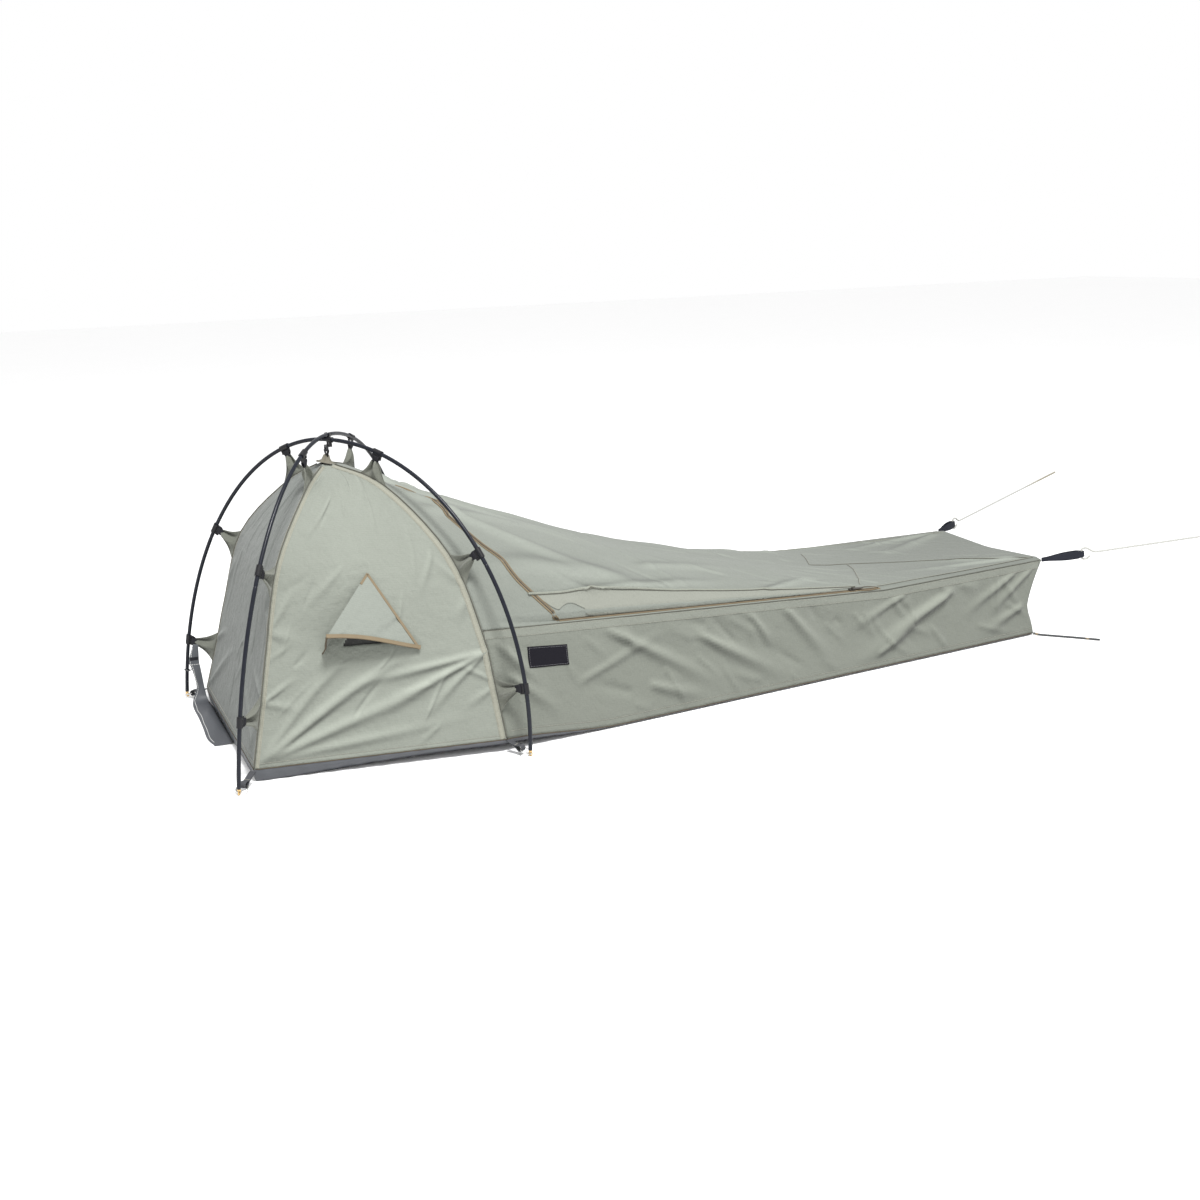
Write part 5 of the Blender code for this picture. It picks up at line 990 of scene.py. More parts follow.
def peg_binding(name, line, aside, place, reach, swell, finish):
    """A whipping or a knot that holds both legs of the doubled cord."""
    swell = PEG_RADIUS * swell
    rings, flat = [], []
    for point, height in zip(at_length(line, place + BINDING_HEIGHTS * reach), BINDING_HEIGHTS):
        grow = 1.0 - 0.25 * abs(height * 2) ** 4
        rings.append(point + np.outer(np.cos(BINDING_TURNS), aside) * (PEG_SPREAD + swell) * grow
                     + np.outer(np.sin(BINDING_TURNS), Z) * swell * grow)
        flat.append(np.stack((BINDING_TURNS / 6.28, np.full(16, height * reach)), -1))
    flat = np.array(flat)
    return attach(band_object(name, rings, (flat[..., 0], flat[..., 1]), finish))


for side, factors in SIDES.items():
    line = np.array(PEG_ROUTE) * factors
    way = unit(line[-1] - line[0])
    aside = np.cross(Z, way)
    bend = [line[-1] + (way * math.sin(a) + aside * math.cos(a)) * PEG_SPREAD
            for a in np.radians((45, 90, 135))]
    route = smooth_line(np.vstack((line + aside * PEG_SPREAD, bend, line[::-1] - aside * PEG_SPREAD)), 6)
    cord = tube_object(f"peg_loop_{side}", at_length(route, np.linspace(0, lengths(route)[-1], 220)),
                       laid_strands(PEG_RADIUS, 4, 0.024), cord_dark, 16)
    bindings = [peg_binding(f"peg_{label}_{side}", line, aside, *rest) for label, *rest in PEG_BINDINGS]
    declare_cord(cord, f"peg_cord_{side}", "object")

toward = TIE_END - TIE_CENTRE
out = unit(np.array((toward[0], toward[1], 0.0)))
aside = np.cross(Z, out)
wrap = POLE_RADIUS + TIE_RADIUS + 3 * GAP
route = []
for k in range(13):
    turn = math.radians(30 + 25 * k)
    way = out * math.cos(turn) + aside * math.sin(turn)
    route.append(TIE_CENTRE + way * wrap + Z * 0.003 * (k / 12 - 0.5))
route += [route[-1] + (TIE_END - route[-1]) * share - Z * 0.004 * window(share)
          for share in (0.25, 0.5, 0.75, 1.0)]
route = smooth_line(route, 5)
tie = tube_object("flap_cord", route, TIE_RADIUS, cord_dark, 10)
declare_cord(tie, "flap_tie", "object")

# %% [markdown]
# ## What each cloth is
# Every sheet is attached to the body that carries it, and its area is printed. A panel of the dome is
# a curved triangle, so its true area is printed, and its widest width and height are listed beside it.


# %% Attaching the cloths
def grid_area(grid):
    """The area of a grid's faces."""
    side = np.diff(grid, axis=0)[:, :-1]
    across = np.diff(grid, axis=1)[:-1]
    return float(np.linalg.norm(np.cross(side, across), axis=-1).sum())


def declare_sheet(piece, area, body="tent", node=None):
    """Attach a cloth to the body that carries it, and print its area."""
    attach(piece, body, node)
    print(piece.name, "cloth area, m2:", area)


for name, size, left, right in (("near", (0.66, 0.75), "near_head", "near_mid"),
                                ("head", (0.70, 0.72), "far_head", "near_head"),
                                ("far", (0.66, 0.75), "far_mid", "far_head")):
    declare_sheet(panels[name], round(grid_area(grids[name]), 3))
for piece, size, grid in ((roof_canvas, (2.10, 0.90), roof), (wall_canvas, (3.80, 0.26), wall)):
    declare_sheet(piece, round(grid_area(grid), 3))

# %% [markdown]
# ## Tub floor
# The floor is a heavy coated cloth with a low shine. Its rim is sewn to the hem all round, and it
# turns under the tent in a soft roll that puckers a little. The loose flap at the far head corner is
# the same cloth: it lies along the ground, then stands up where a thin cord holds it to the pole.


# %% Floor cloth finish
def coated_finish(name, light, dark, roughness):
    """Coated cloth with a low, uneven shine."""
    made = Finish(name, specular_ior_level=0.45)
    place = made.place()
    fine = made.noise(place, 900.0, 2.0)
    soft = made.noise(place, 9.0, 4.0)
    made.set(base_color=made.mix(soft * 0.7 + fine * 0.3, dark, light))
    made.set(roughness=between(made, soft, 0.0, 1.0) * 0.25 + roughness)
    made.relief(fine * 0.5 + soft, 0.0008, 0.5)
    return made.material


tub_cloth = coated_finish("tub_floor_cloth", (0.076, 0.081, 0.090), (0.042, 0.045, 0.051), 0.46)

# %% Tub floor shape
FLOOR_THICKNESS = 0.0015
INSET_HEAD, INSET_MIDDLE, INSET_WALL, HEAD_START = 0.004, 0.055, 0.008, 0.040


def floor_lines():
    """The sewn rim and, for each of its points, the place where the cloth meets the ground."""
    rim = np.vstack((wall[0], grids["far"][0], grids["head"][0], grids["near"][0])) - Z * GAP
    rim[:, 2] = np.minimum(rim[:, 2], HEM - GAP)
    x, y = rim[:, 0], rim[:, 1]
    behind = np.where(x > -0.55, ease((-0.20 - x) / 0.32), 1.0) * ease((x + 1.08) / 0.45)
    across = INSET_WALL + (INSET_MIDDLE - INSET_WALL) * behind
    side = y * (1 - across / np.maximum(np.abs(y), 0.204))
    base_x = np.minimum(np.maximum(x + INSET_HEAD, -1.125 + HEAD_START), FOOT_BASE_X - INSET_WALL)
    return rim, np.stack((base_x, side, np.zeros(len(rim))), -1)


rim, base = floor_lines()
place = lengths(rim)
out = unit((rim - base) * np.array((1.0, 1.0, 0.0)) + 1e-9)
middle = np.stack((np.clip(base[:, 0], -0.85, 0.90), np.zeros(len(base)), np.zeros(len(base))), -1)
rows = []
for share in np.linspace(0, 1, 12):
    line = rim + (base - rim) * share
    roll = 0.30 * np.linalg.norm((rim - base)[:, :2], axis=1) * window(share) ** 0.8
    pucker = 0.0016 * np.sin(place * 130 + 2 * np.sin(place * 9)) * window(share)
    rows.append(line + out * np.minimum(roll + pucker * ease(place * 9), 0.012)[:, None])
for share in np.linspace(0.15, 1, 6):
    rows.append(base + (middle - base) * share)
floor_grid = np.array(rows)
floor_inside = np.stack((np.clip(floor_grid[..., 0], -0.8, 0.8), np.zeros(floor_grid.shape[:2]),
                         np.full(floor_grid.shape[:2], 0.15)), -1)
floor_grid[..., 2] = np.maximum(floor_grid[..., 2], 0.0)
tub = sheet_object("tub_floor", floor_grid, FLOOR_THICKNESS, tub_cloth, floor_inside)
declare_sheet(tub, round(grid_area(floor_grid), 3),
              node="floor_tub")

# %% Loose floor flap
FLAP_ROWS = (
    ((-1.0788, -0.045, 0.0030), (-1.100, -0.045, 0.0024), (-1.122, -0.042, 0.0016)),
    ((-1.0788, 0.020, 0.0030), (-1.104, 0.020, 0.0030), (-1.130, 0.016, 0.0016)),
    ((-1.0788, 0.100, 0.0030), (-1.102, 0.104, 0.0110), (-1.127, 0.100, 0.0018)),
    ((-1.0788, 0.180, 0.0030), (-1.101, 0.184, 0.0130), (-1.125, 0.180, 0.0020)),
    ((-1.0788, 0.250, 0.0030), (-1.100, 0.252, 0.0060), (-1.125, 0.250, 0.0022)),
    ((-1.0840, 0.292, 0.0080), (-1.100, 0.294, 0.0100), (-1.121, 0.298, 0.0080)),
    ((-1.0880, 0.306, 0.0360), (-1.096, 0.308, 0.0380), (-1.107, 0.311, 0.0400)),
    ((-1.0920, 0.308, 0.0850), (-1.101, 0.309, 0.0860), (-1.113, 0.312, 0.0860)),
    ((-1.0940, 0.310, 0.1060), (-1.104, 0.310, 0.1060), (-1.119, 0.312, 0.1060)),
    ((-1.0930, 0.311, 0.1260), (-1.102, 0.311, 0.1265), (-1.114, 0.313, 0.1260)),
    ((-1.0920, 0.312, 0.1500), (-1.098, 0.314, 0.1510), (-1.104, 0.316, 0.1520)),
)
columns = [smooth_line([row[k] for row in FLAP_ROWS], 9) for k in range(3)]
flap_grid = np.array([smooth_line(row, 8) for row in zip(*columns)])
height, share = share_grid(flap_grid.shape[0] - 1, flap_grid.shape[1] - 1)
ripple = 0.0022 * np.sin(height * 44 + share * 5) * window(share) * window(height) ** 0.5
flap_grid = flap_grid + np.array((-1.0, 0.1, 0.25)) * ripple[..., None]
flap_under = flap_grid + np.array((0.1, -0.02, -0.3))
flap_grid[..., 2] = np.maximum(flap_grid[..., 2], FLOOR_THICKNESS)
flap = sheet_object("floor_flap", flap_grid, 0.0012, tub_cloth, flap_under)
declare_sheet(flap, round(grid_area(flap_grid), 4),
              node="floor_corner_flap")

# %% [markdown]
# ## Laying trims on a cloth
# Tapes, bindings and stitches follow the cloth under them. Each point of a trim is dropped on the
# nearest place of the cloth, found with a search tree, and lifted by the trim's own thickness.


# %% Trims on cloth
CLOTHS = {}


def add_cloth(name, grid, inside):
    """Keep a search tree over a cloth, and a point on its inner side."""
    rows, columns = grid.shape[:2]
    faces = [(i * columns + j, i * columns + j + 1, (i + 1) * columns + j + 1, (i + 1) * columns + j)
             for i in range(rows - 1) for j in range(columns - 1)]
    CLOTHS[name] = BVHTree.FromPolygons(grid.reshape(-1, 3).tolist(), faces), np.array(inside)


def drop(cloth, point):
    """The nearest place on a cloth, and its normal turned outwards."""
    tree, inside = CLOTHS[cloth]
    place, normal = [np.array(found) for found in tree.find_nearest(Vector(point))[:2]]
    return place, normal if (place - inside) @ normal > 0 else -normal


def even_line(line, step):
    """The same line with points at even steps."""
    line = np.asarray(line, float)
    total = lengths(line)[-1]
    return at_length(line, np.linspace(0, total, max(int(total / step), 2) + 1))


def laid_band(name, cloth, line, width, height, finish, shift=0.0, step=0.010, round_top=0.0,
              node=None):
    """A flat band sewn along a line on a cloth. Shift moves it sideways; round_top raises its middle."""
    line = even_line(line, step)
    offsets = np.linspace(-0.5, 0.5, 7)
    rings = []
    for point, way in zip(line, unit(np.gradient(line, axis=0))):
        centre, normal = drop(cloth, point)
        side = unit(np.cross(way, normal))
        top, bottom = [], []
        for offset in offsets:
            spot, face = drop(cloth, centre + side * (shift + offset * width))
            rise = height * (0.55 if abs(offset) > 0.49 else 1.0) + round_top * math.cos(offset * math.pi)
            top.append(spot + face * rise)
            bottom.append(spot - face * 0.0004)
        rings.append(top + bottom[::-1])
    across = np.repeat(np.concatenate((offsets, offsets[::-1]))[None] * width, len(line), axis=0)
    along = np.repeat(lengths(line)[:, None], 14, axis=1)
    return attach(band_object(name, rings, (across, along), finish), node=node)


DASH = ((3, 2, 1, 0), (4, 5, 6, 7), (0, 1, 5, 4), (1, 2, 6, 5), (2, 3, 7, 6), (3, 0, 4, 7))


def stitch_row(name, cloth, line, finish, shifts=(0.0,), lift=0.0012,
               pitch=0.0042, length=0.0030, width=0.0009):
    """Rows of thread on a cloth: one short raised dash for each stitch."""
    line = even_line(line, pitch)
    run = unit(np.gradient(line, axis=0))
    section = ((-0.5, -0.0002), (0.5, -0.0002), (0.25, lift - 0.0003), (-0.25, lift - 0.0003))
    points, faces = [], []
    for shift in shifts:
        for point, way in zip(line, run):
            spot, normal = drop(cloth, point)
            side = unit(np.cross(way, normal))
            spot, normal = drop(cloth, spot + side * shift)
            faces += [tuple(len(points) + k for k in face) for face in DASH]
            points += [spot + way * end * length + side * aside * width + normal * rise
                       for end in (-0.5, 0.5) for aside, rise in section]
    return attach(mesh_object(name, points, faces, finish))


def thread_finish(name, light, dark):
    """Sewing thread with a fine twist."""
    made = Finish(name, roughness=0.7, sheen_weight=0.2)
    made.set(base_color=made.mix(made.noise(made.place(), 700.0, 2.0), dark, light))
    made.relief(made.noise(made.place(), 2200.0, 2.0), 0.0003, 0.5)
    return made.material


thread_cream = thread_finish("cream_thread", (0.30, 0.29, 0.24), (0.19, 0.18, 0.15))
thread_white = thread_finish("white_thread", (0.80, 0.80, 0.78), (0.55, 0.55, 0.53))
thread_olive = thread_finish("olive_thread", (0.20, 0.20, 0.155), (0.11, 0.11, 0.085))
seam_tape = canvas_finish("seam_tape", (0.240, 0.240, 0.195), (0.190, 0.190, 0.155))
hem_cloth = canvas_finish("hem_cloth", (0.215, 0.226, 0.192), (0.175, 0.186, 0.158))
for name, grid in grids.items():
    add_cloth(name, grid, BODY_MIDDLE)
add_cloth("roof", roof, (0.0, 0.0, -0.2))
add_cloth("wall", wall, (0.0, 0.0, 0.0))
add_cloth("flap", flap_grid, (-0.9, 0.2, -0.4))
print("cloths to sew on:", list(CLOTHS))

# %% [markdown]
# ## Gussets and webbing tabs
# Twelve clips carry the canvas. Under each clip a doubled webbing tab goes round the clip's bar, and
# a small triangle of canvas spreads the pull into the corner seam. The triangle is wider than the
# space it fills, so it stands in soft pleats that run to the tab.

# %% Clip places
CLIP_ANGLES = {"low": 76.9, "middle": 48.8, "high": 15.3}
TAB_ROOT, TAB_HALF_WIDTH, GUSSET_HALF_BASE, HEM_CLEAR = 0.0240, 0.0096, 0.040, 0.006
TAB_NARROWING, NARROW_FROM, NARROW_RUN = 0.0022, 0.014, 0.012
PLEAT_HEIGHT, PUCKER_HEIGHT, GUSSET_WAIST, FOOT_LEAN = 0.0075, 0.0016, 0.16, 0.02
GUSSET_THICKNESS, WEB_HALF_THICKNESS = 0.0009, 0.00065


def clip_place(corner, label):
    """A clip's centre on its pole, the pole's direction there, and the direction to the canvas."""
    turn = math.radians(CLIP_ANGLES[label])
    centre = CROSSING + spoke(corner) * math.sin(turn) + UP * POLE_TOP * math.cos(turn)
    axis = unit(UP * POLE_TOP * math.sin(turn) - spoke(corner) * math.cos(turn))
    inward = unit(np.cross(pole_plane(corner), axis))
    return centre, axis, inward if inward @ spoke(corner) < 0 else -inward


# %% Gussets and tabs
# The gussets and the soft side of the vent hood take a darker copy of the canvas, as painted shade.
shaded_gusset_canvas = canvas_finish("shaded_gusset_canvas", (0.135, 0.140, 0.116), (0.095, 0.100, 0.083))
TAB_LINE = ((TAB_ROOT + 0.004, 0.0006), (0.0200, 0.0026), (0.0160, 0.0032), (0.0132, 0.0030),
            (0.0122, 0.0016), (0.0120, 0.0), (0.0122, -0.0016), (0.0132, -0.0030), (0.0160, -0.0032),
            (0.0200, -0.0026), (TAB_ROOT + 0.004, -0.0006))


def make_gusset(corner, label):
    """The pleated triangle between the corner seam and a clip's tab."""
    centre, axis, inward = clip_place(corner, label)
    plane, line = pole_plane(corner), SEAMS[corner]
    total = lengths(line)
    nearest = np.abs((line - centre) @ axis).argmin()
    start = max(total[nearest] - GUSSET_HALF_BASE, HEM_CLEAR)
    end = min(total[nearest] + GUSSET_HALF_BASE, total[-1] - HEM_CLEAR)
    rise, share = share_grid(24, 40)
    foot = at_length(line, start + (end - start) * share) + (centre - line[nearest]) * FOOT_LEAN
    tip = centre + inward * (TAB_ROOT + 0.001) + axis * ((share - 0.5) * 2 * TAB_HALF_WIDTH)[..., None]
    grid = foot + (tip - foot) * (rise**0.85)[..., None]
    middle = (grid[:, :1] + grid[:, -1:]) / 2
    grid = middle + (grid - middle) * (1 - GUSSET_WAIST * window(rise))[..., None]
    pleat = np.sin(share * 2 * np.pi * 1.5 + 0.6) * PLEAT_HEIGHT
    pleat = pleat + np.sin(share * 2 * np.pi * 4 + 1.0) * PUCKER_HEIGHT
    swell = window(rise) ** 0.8 + 0.25 * rise
    grid = grid + plane * (pleat * swell * window(0.03 + share * 0.94) ** 0.5)[..., None]
    piece = sheet_object(f"gusset_{corner}_{label}", grid, GUSSET_THICKNESS, shaded_gusset_canvas,
                         centre - plane * 0.5)
    declare_sheet(piece, round(grid_area(grid), 5))


def make_tab(corner, label):
    """The black webbing doubled round the clip's bar."""
    centre, axis, inward = clip_place(corner, label)
    plane = pole_plane(corner)
    line = smooth_line([centre + inward * a + plane * b for a, b in TAB_LINE], 4)
    half = TAB_HALF_WIDTH - TAB_NARROWING * ease(((line - centre) @ inward - NARROW_FROM) / NARROW_RUN)
    attach(strap_object(f"tab_{corner}_{label}", line, axis, half, WEB_HALF_THICKNESS, webbing_black))


for corner in CORNERS:
    for label in CLIP_ANGLES:
        make_gusset(corner, label)
        make_tab(corner, label)

# %% [markdown]
# ## Corner seams
# The edges of two panels and the gussets are caught in one raised seam. A pale tape covers it on the
# side panels, with a row of thread along each edge, and a thin ridge, painted dark as the seam's
# shadow, marks the other side.

# %% Ridges, tapes and stitches
# A dark copy of the canvas, as painted shadow: it colours the corner seams' ridges, the narrow bands beside
# the roof's seams and the line along the wall's top.
seam_shadow_cloth = canvas_finish("seam_ridge_painted_shadow", (0.090, 0.090, 0.070), (0.060, 0.060, 0.047), 0.0026)
SEAM_SIDES = {"near_head": ("near", "head"), "near_mid": ("near", "roof"),
              "far_head": ("far", "head"), "far_mid": ("far", "roof")}


SEAM_TAPE_WIDTHS = {"mid": 0.0125, "head": 0.0080}
RIDGE_RADIUS, TAPE_HEIGHT, SEAM_THREAD_LIFT = 0.0016, 0.0011, 0.0019


def seam_side(corner, panel):
    """The side of a seam on which a panel lies, as a sign for laid_band."""
    line = even_line(SEAMS[corner], 0.02)
    k = len(line) // 2
    way = unit(line[k + 1] - line[k - 1])
    _, normal = drop(panel, line[k])
    middle = grids[panel][DOME_ROWS // 2, DOME_COLUMNS // 2]
    return float(np.sign(np.cross(way, normal) @ (middle - line[k])))


for corner, (panel, other) in SEAM_SIDES.items():
    line = SEAMS[corner]
    line = at_length(line, np.linspace(0.004, lengths(line)[-1] - 0.012, 160))
    away = unit(line - CROSSING - Z * 0.10)
    ridge = tube_object(f"seam_ridge_{corner}", line + away * 0.0012, RIDGE_RADIUS, seam_shadow_cloth, 8)
    attach(ridge, node=f"corner_seam_{corner}")
    sign = seam_side(corner, panel)
    width = SEAM_TAPE_WIDTHS[corner.split("_")[1]]
    laid_band(f"seam_tape_{corner}", panel, line, width, TAPE_HEIGHT, seam_tape,
              sign * (width / 2 + 0.0015), 0.008)
    stitch_row(f"seam_stitch_{corner}", panel, line, thread_olive, lift=SEAM_THREAD_LIFT,
               shifts=(sign * 0.0032, sign * (width - 0.0005)))
    if other == "head":
        stitch_row(f"seam_stitch_head_{corner}", other, line, thread_cream,
                   shifts=(seam_side(corner, other) * 0.0045,))
print("corner seams:", list(SEAM_SIDES))

# %% [markdown]
# ## Vent hood
# The vent is a netted opening under a stiff three-cornered hood. One edge of the hood is sewn to the
# panel, the low edge has a thick brown binding, and a soft folding side joins the free edge to the
# panel.

# %% Brown binding and net
binding_brown = webbing_finish("brown_binding", (0.190, 0.150, 0.094), (0.120, 0.093, 0.058), 0.6)
# A darker copy of the brown binding, as painted shade: it colours the vent's side tape, the upper lip of the
# open zip, the bottom hem's edge cord, and thin lines painted as shadow under the hood's seam and brim.
shaded_binding = webbing_finish("brown_binding_painted_shade", (0.100, 0.080, 0.055), (0.050, 0.040, 0.028), 0.7)
net = Finish("vent_net", roughness=0.7)
place = net.place()
holes = [net.node("ShaderNodeSeparateXYZ", {}, place, output=axis).line(0.0022, 0.0012) for axis in (0, 2)]
net.set(base_color=net.mix(holes[0].maths("MAXIMUM", holes[1]), (0.004, 0.004, 0.004), (0.035, 0.035, 0.033)))
net.relief(holes[0].maths("MAXIMUM", holes[1]), 0.0004, 0.8)

# %% Vent hood
HOOD_FREE = np.array((-0.908, -0.343, 0.306))
HOOD_FOLD = next(joint for joint in frame["record"]["behaviour"]["joints"]
                 if joint["name"] == "vent_hood_fold")
HOOD_GAP, HOOD_ROWS, HOOD_THICKNESS = 0.0018, 61, 0.0014
lift = 0.0
for share in np.linspace(0, 1, 25):
    point = VENT_TOP + (VENT_RIGHT - VENT_TOP) * share
    lift = max(lift, (drop("near", point)[0] - point) @ VENT_OUT)
hood_top, hood_right = [point + VENT_OUT * (lift + HOOD_GAP) for point in (VENT_TOP, VENT_RIGHT)]
hood_out = unit(np.cross(HOOD_FREE - hood_top, hood_right - hood_top))
hood_out = hood_out if hood_out @ VENT_OUT > 0 else -hood_out
across, down = np.meshgrid(np.linspace(0, 1, HOOD_ROWS), np.linspace(0.012, 1, HOOD_ROWS))
low_edge = HOOD_FREE + (hood_right - HOOD_FREE) * across[..., None]
low_edge = low_edge + np.array((0.0, 0.0, 0.010)) * (window(across) ** 1.2 * (1 - across))[..., None]
hood_grid = hood_top + (low_edge - hood_top) * down[..., None]
belly = 0.0065 * window(across) * window(down * 0.62)
belly = belly + crease(across, down, (0.98, 0.60), (0.45, 0.98), 0.050, -0.0045)
belly = belly + crease(across, down, (0.10, 0.98), (0.28, 0.35), 0.060, 0.0022)
hood_grid = hood_grid + hood_out * (belly * ease((1 - across) * 12))[..., None]
hood_cloth = canvas_finish("hood_canvas", (0.200, 0.216, 0.190), (0.162, 0.176, 0.154), 0.0048)
hood = sheet_object("vent_hood_canvas", hood_grid, HOOD_THICKNESS, hood_cloth, BODY_MIDDLE)


def edge_binding(name, line, inwards, out, width, thickness, finish):
    """Tape folded over a cloth's edge."""
    way = unit(np.gradient(line, axis=0))
    side = np.cross(way, np.broadcast_to(out, line.shape))
    side = side * np.sign((side * (inwards - line)).sum(-1, keepdims=True))
    return strap_object(name, line + side * (width / 2 - 0.0008), side, width / 2, thickness / 2, finish, way)


centre = (hood_top + hood_right + HOOD_FREE) / 3
hood_trims = [edge_binding(name, even_line(line, step), centre, hood_out, width, thickness, binding_brown)
              for name, line, step, width, thickness in (
                  ("hood_brim", hood_grid[-1], 0.006, 0.0085, 0.0046),
                  ("hood_seam_tape", hood_grid[:, -1], 0.006, 0.0060, 0.0034),
                  ("hood_corner_tape", hood_grid[:11, 0], 0.004, 0.0056, 0.0034))]
# Thin dark lines just inside the hood's seam and under its brim: painted shadow.
hood_edges = [tube_object(name, even_line(line, 0.006), 0.0012, shaded_binding, 8)
              for name, line in (("hood_seam_shadow", hood_grid[:, -1] - hood_out * 0.0006),
                                 ("hood_brim_shadow", hood_grid[-1] - hood_out * 0.0020))]
for trim in hood_trims + hood_edges:
    attach(trim, "hood")
declare_sheet(hood, round(grid_area(hood_grid), 4),
              "hood", "vent_hood")

# %% Soft side of the hood and the net
rise, share = np.meshgrid(np.linspace(0, 1, 17), np.linspace(0.05, 1, 41))
feet = np.array([drop("near", VENT_TOP + (VENT_LEFT - VENT_TOP) * part)[0] + VENT_OUT * 0.0012
                 for part in share[:, 0]])
tops = hood_top + (HOOD_FREE - hood_top) * share[:, :1] - hood_out * 0.0016
fold = unit(np.cross(VENT_LEFT - hood_top, HOOD_FREE - hood_top))
fold = fold if fold @ (centre - VENT_LEFT) > 0 else -fold
side_grid = feet[:, None] + (tops - feet)[:, None] * rise[..., None]
slack = 0.003 * window(rise) * share + 0.001 * np.sin(rise * 9 + share * 5) * window(rise)
side_grid = side_grid + fold * slack[..., None]
side_cloth = sheet_object("vent_side_cloth", side_grid, 0.0008, shaded_gusset_canvas, centre)
declare_sheet(side_cloth, round(grid_area(side_grid), 5),
              node="vent_gusset")
leg = edge_binding("vent_side_tape", side_grid[-1], side_grid[-6, 8], fold, 0.0050, 0.0026, shaded_binding)
attach(leg)
turn = math.radians(HOOD_FOLD["range_deg"][1])
hinge = unit(hood_right - hood_top)
arm = (HOOD_FREE - hood_top) - hinge * ((HOOD_FREE - hood_top) @ hinge)
height = float(arm @ VENT_OUT)
for piece in (side_cloth, leg):
    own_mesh(piece)

net_area = grids["near"][20:90, 20:100]
along, up = np.moveaxis(vent_share(net_area)[..., :2], -1, 0)
inner = (up > 0.04) & (up < 0.70) & (along > 0.08) & (along + up < 0.94)
cells = inner[:-1, :-1] & inner[1:, 1:]
(top, bottom), (left, right) = [(used.min(), used.max() + 1) for used in np.where(cells)]
net_grid = net_area[top:bottom + 1, left:right + 1]
net_grid = net_grid - grid_normals(net_grid, BODY_MIDDLE) * 0.0026
vent_net = sheet_object("vent_net_cloth", net_grid, 0.0006, net.material, BODY_MIDDLE,
                        ~cells[top:bottom, left:right])
declare_sheet(vent_net, 0.0136, node="vent_mesh")

# %% [markdown]
# ## Door zip
# The door opens along one long zip: down the slope behind the dome, round a corner, and along the
# top of the wall. Brown tape edges it on both sides and a pale storm flap lies above it. The slider
# stops short of the foot end, so the last hand's breadth of the opening gapes a little.

# %% Door zip
SLIDER_REST_X = 0.475
ZIP_END_X, ZIP_SHARE = 0.565, 0.013 / 0.022
TAPE_WIDTH, TEETH_WIDTH, TEETH_HEIGHT, TOOTH_STEP = 0.0100, 0.0030, 0.0020, 0.0030
BINDING_WIDTH, BINDING_HEIGHT, BINDING_ROUND, BINDING_SHIFT = 0.0032, 0.0014, 0.0012, 0.0042
ZIP_CLIMB = ((-0.655, -0.062), (-0.627, -0.113), (-0.587, -0.160), (-0.548, -0.205), (-0.515, -0.238),
             (-0.485, -0.260), (-0.447, -0.294))


def from_above(x, y):
    """The place on the roof straight under a point."""
    return np.array(CLOTHS["roof"][0].ray_cast(Vector((x, y, 2.0)), Vector((0, 0, -1)))[0])


band_side = np.array((0.0, BAND_WIDTH, BAND_RISE))
straight = np.array([roof_edge(x) + band_side * ZIP_SHARE for x in np.linspace(-0.366, ZIP_END_X, 120)])
climb = smooth_line([from_above(x, y) for x, y in ZIP_CLIMB] + [straight[0]], 8)
closed = np.vstack((climb, straight[straight[:, 0] < SLIDER_REST_X]))
whole = np.vstack((climb, straight))

zip_tape = webbing_finish("zip_tape", (0.250, 0.215, 0.150), (0.160, 0.135, 0.095), 0.75)
teeth = Finish("zip_teeth", roughness=0.45)
across, along = teeth.cut()
steps = along.line(TOOTH_STEP, 0.0016)
teeth.set(base_color=teeth.mix(steps, (0.020, 0.016, 0.012), (0.075, 0.058, 0.038)))
teeth.relief(steps, 0.0008, 0.8)
laid_band("zip_tape_cloth", "roof", whole, TAPE_WIDTH, 0.0010, zip_tape, 0, 0.008,
          node="door_zip")
laid_band("zip_chain", "roof", closed, TEETH_WIDTH, TEETH_HEIGHT, teeth.material, 0, 0.006,
          0.0004)
for name, shift in (("upper", BINDING_SHIFT), ("lower", -BINDING_SHIFT)):
    for part, line in (("climb", climb), ("straight", straight)):
        laid_band(f"zip_binding_{name}_{part}", "roof", line, BINDING_WIDTH, BINDING_HEIGHT,
                  binding_brown, shift, 0.008, BINDING_ROUND)
print("zip length, m:", round(float(lengths(whole)[-1]), 3))

# %% Storm flap
# The flap is lifted over the slider's last place, at the zip's low corner by the dome.
STORM_SEAM = ((-0.432, -0.307), (-0.350, -0.299), (-0.246, -0.290), (0.034, -0.266), (0.270, -0.253),
              (0.494, -0.246))
STORM_THICKNESS, STORM_RISE = 0.0010, 0.0017
FLAP_EDGE, SLIDER_ROOM = (0.0, 0.0082, 0.0012), (0.0, 0.006, 0.032)
SLIDER_LAST_X, ROOM_LENGTH = -0.335, 0.040


def line_at_x(line, x):
    """Places on a line that runs along the tent."""
    return np.stack([np.interp(x, line[:, 0], line[:, axis]) for axis in range(3)], -1)


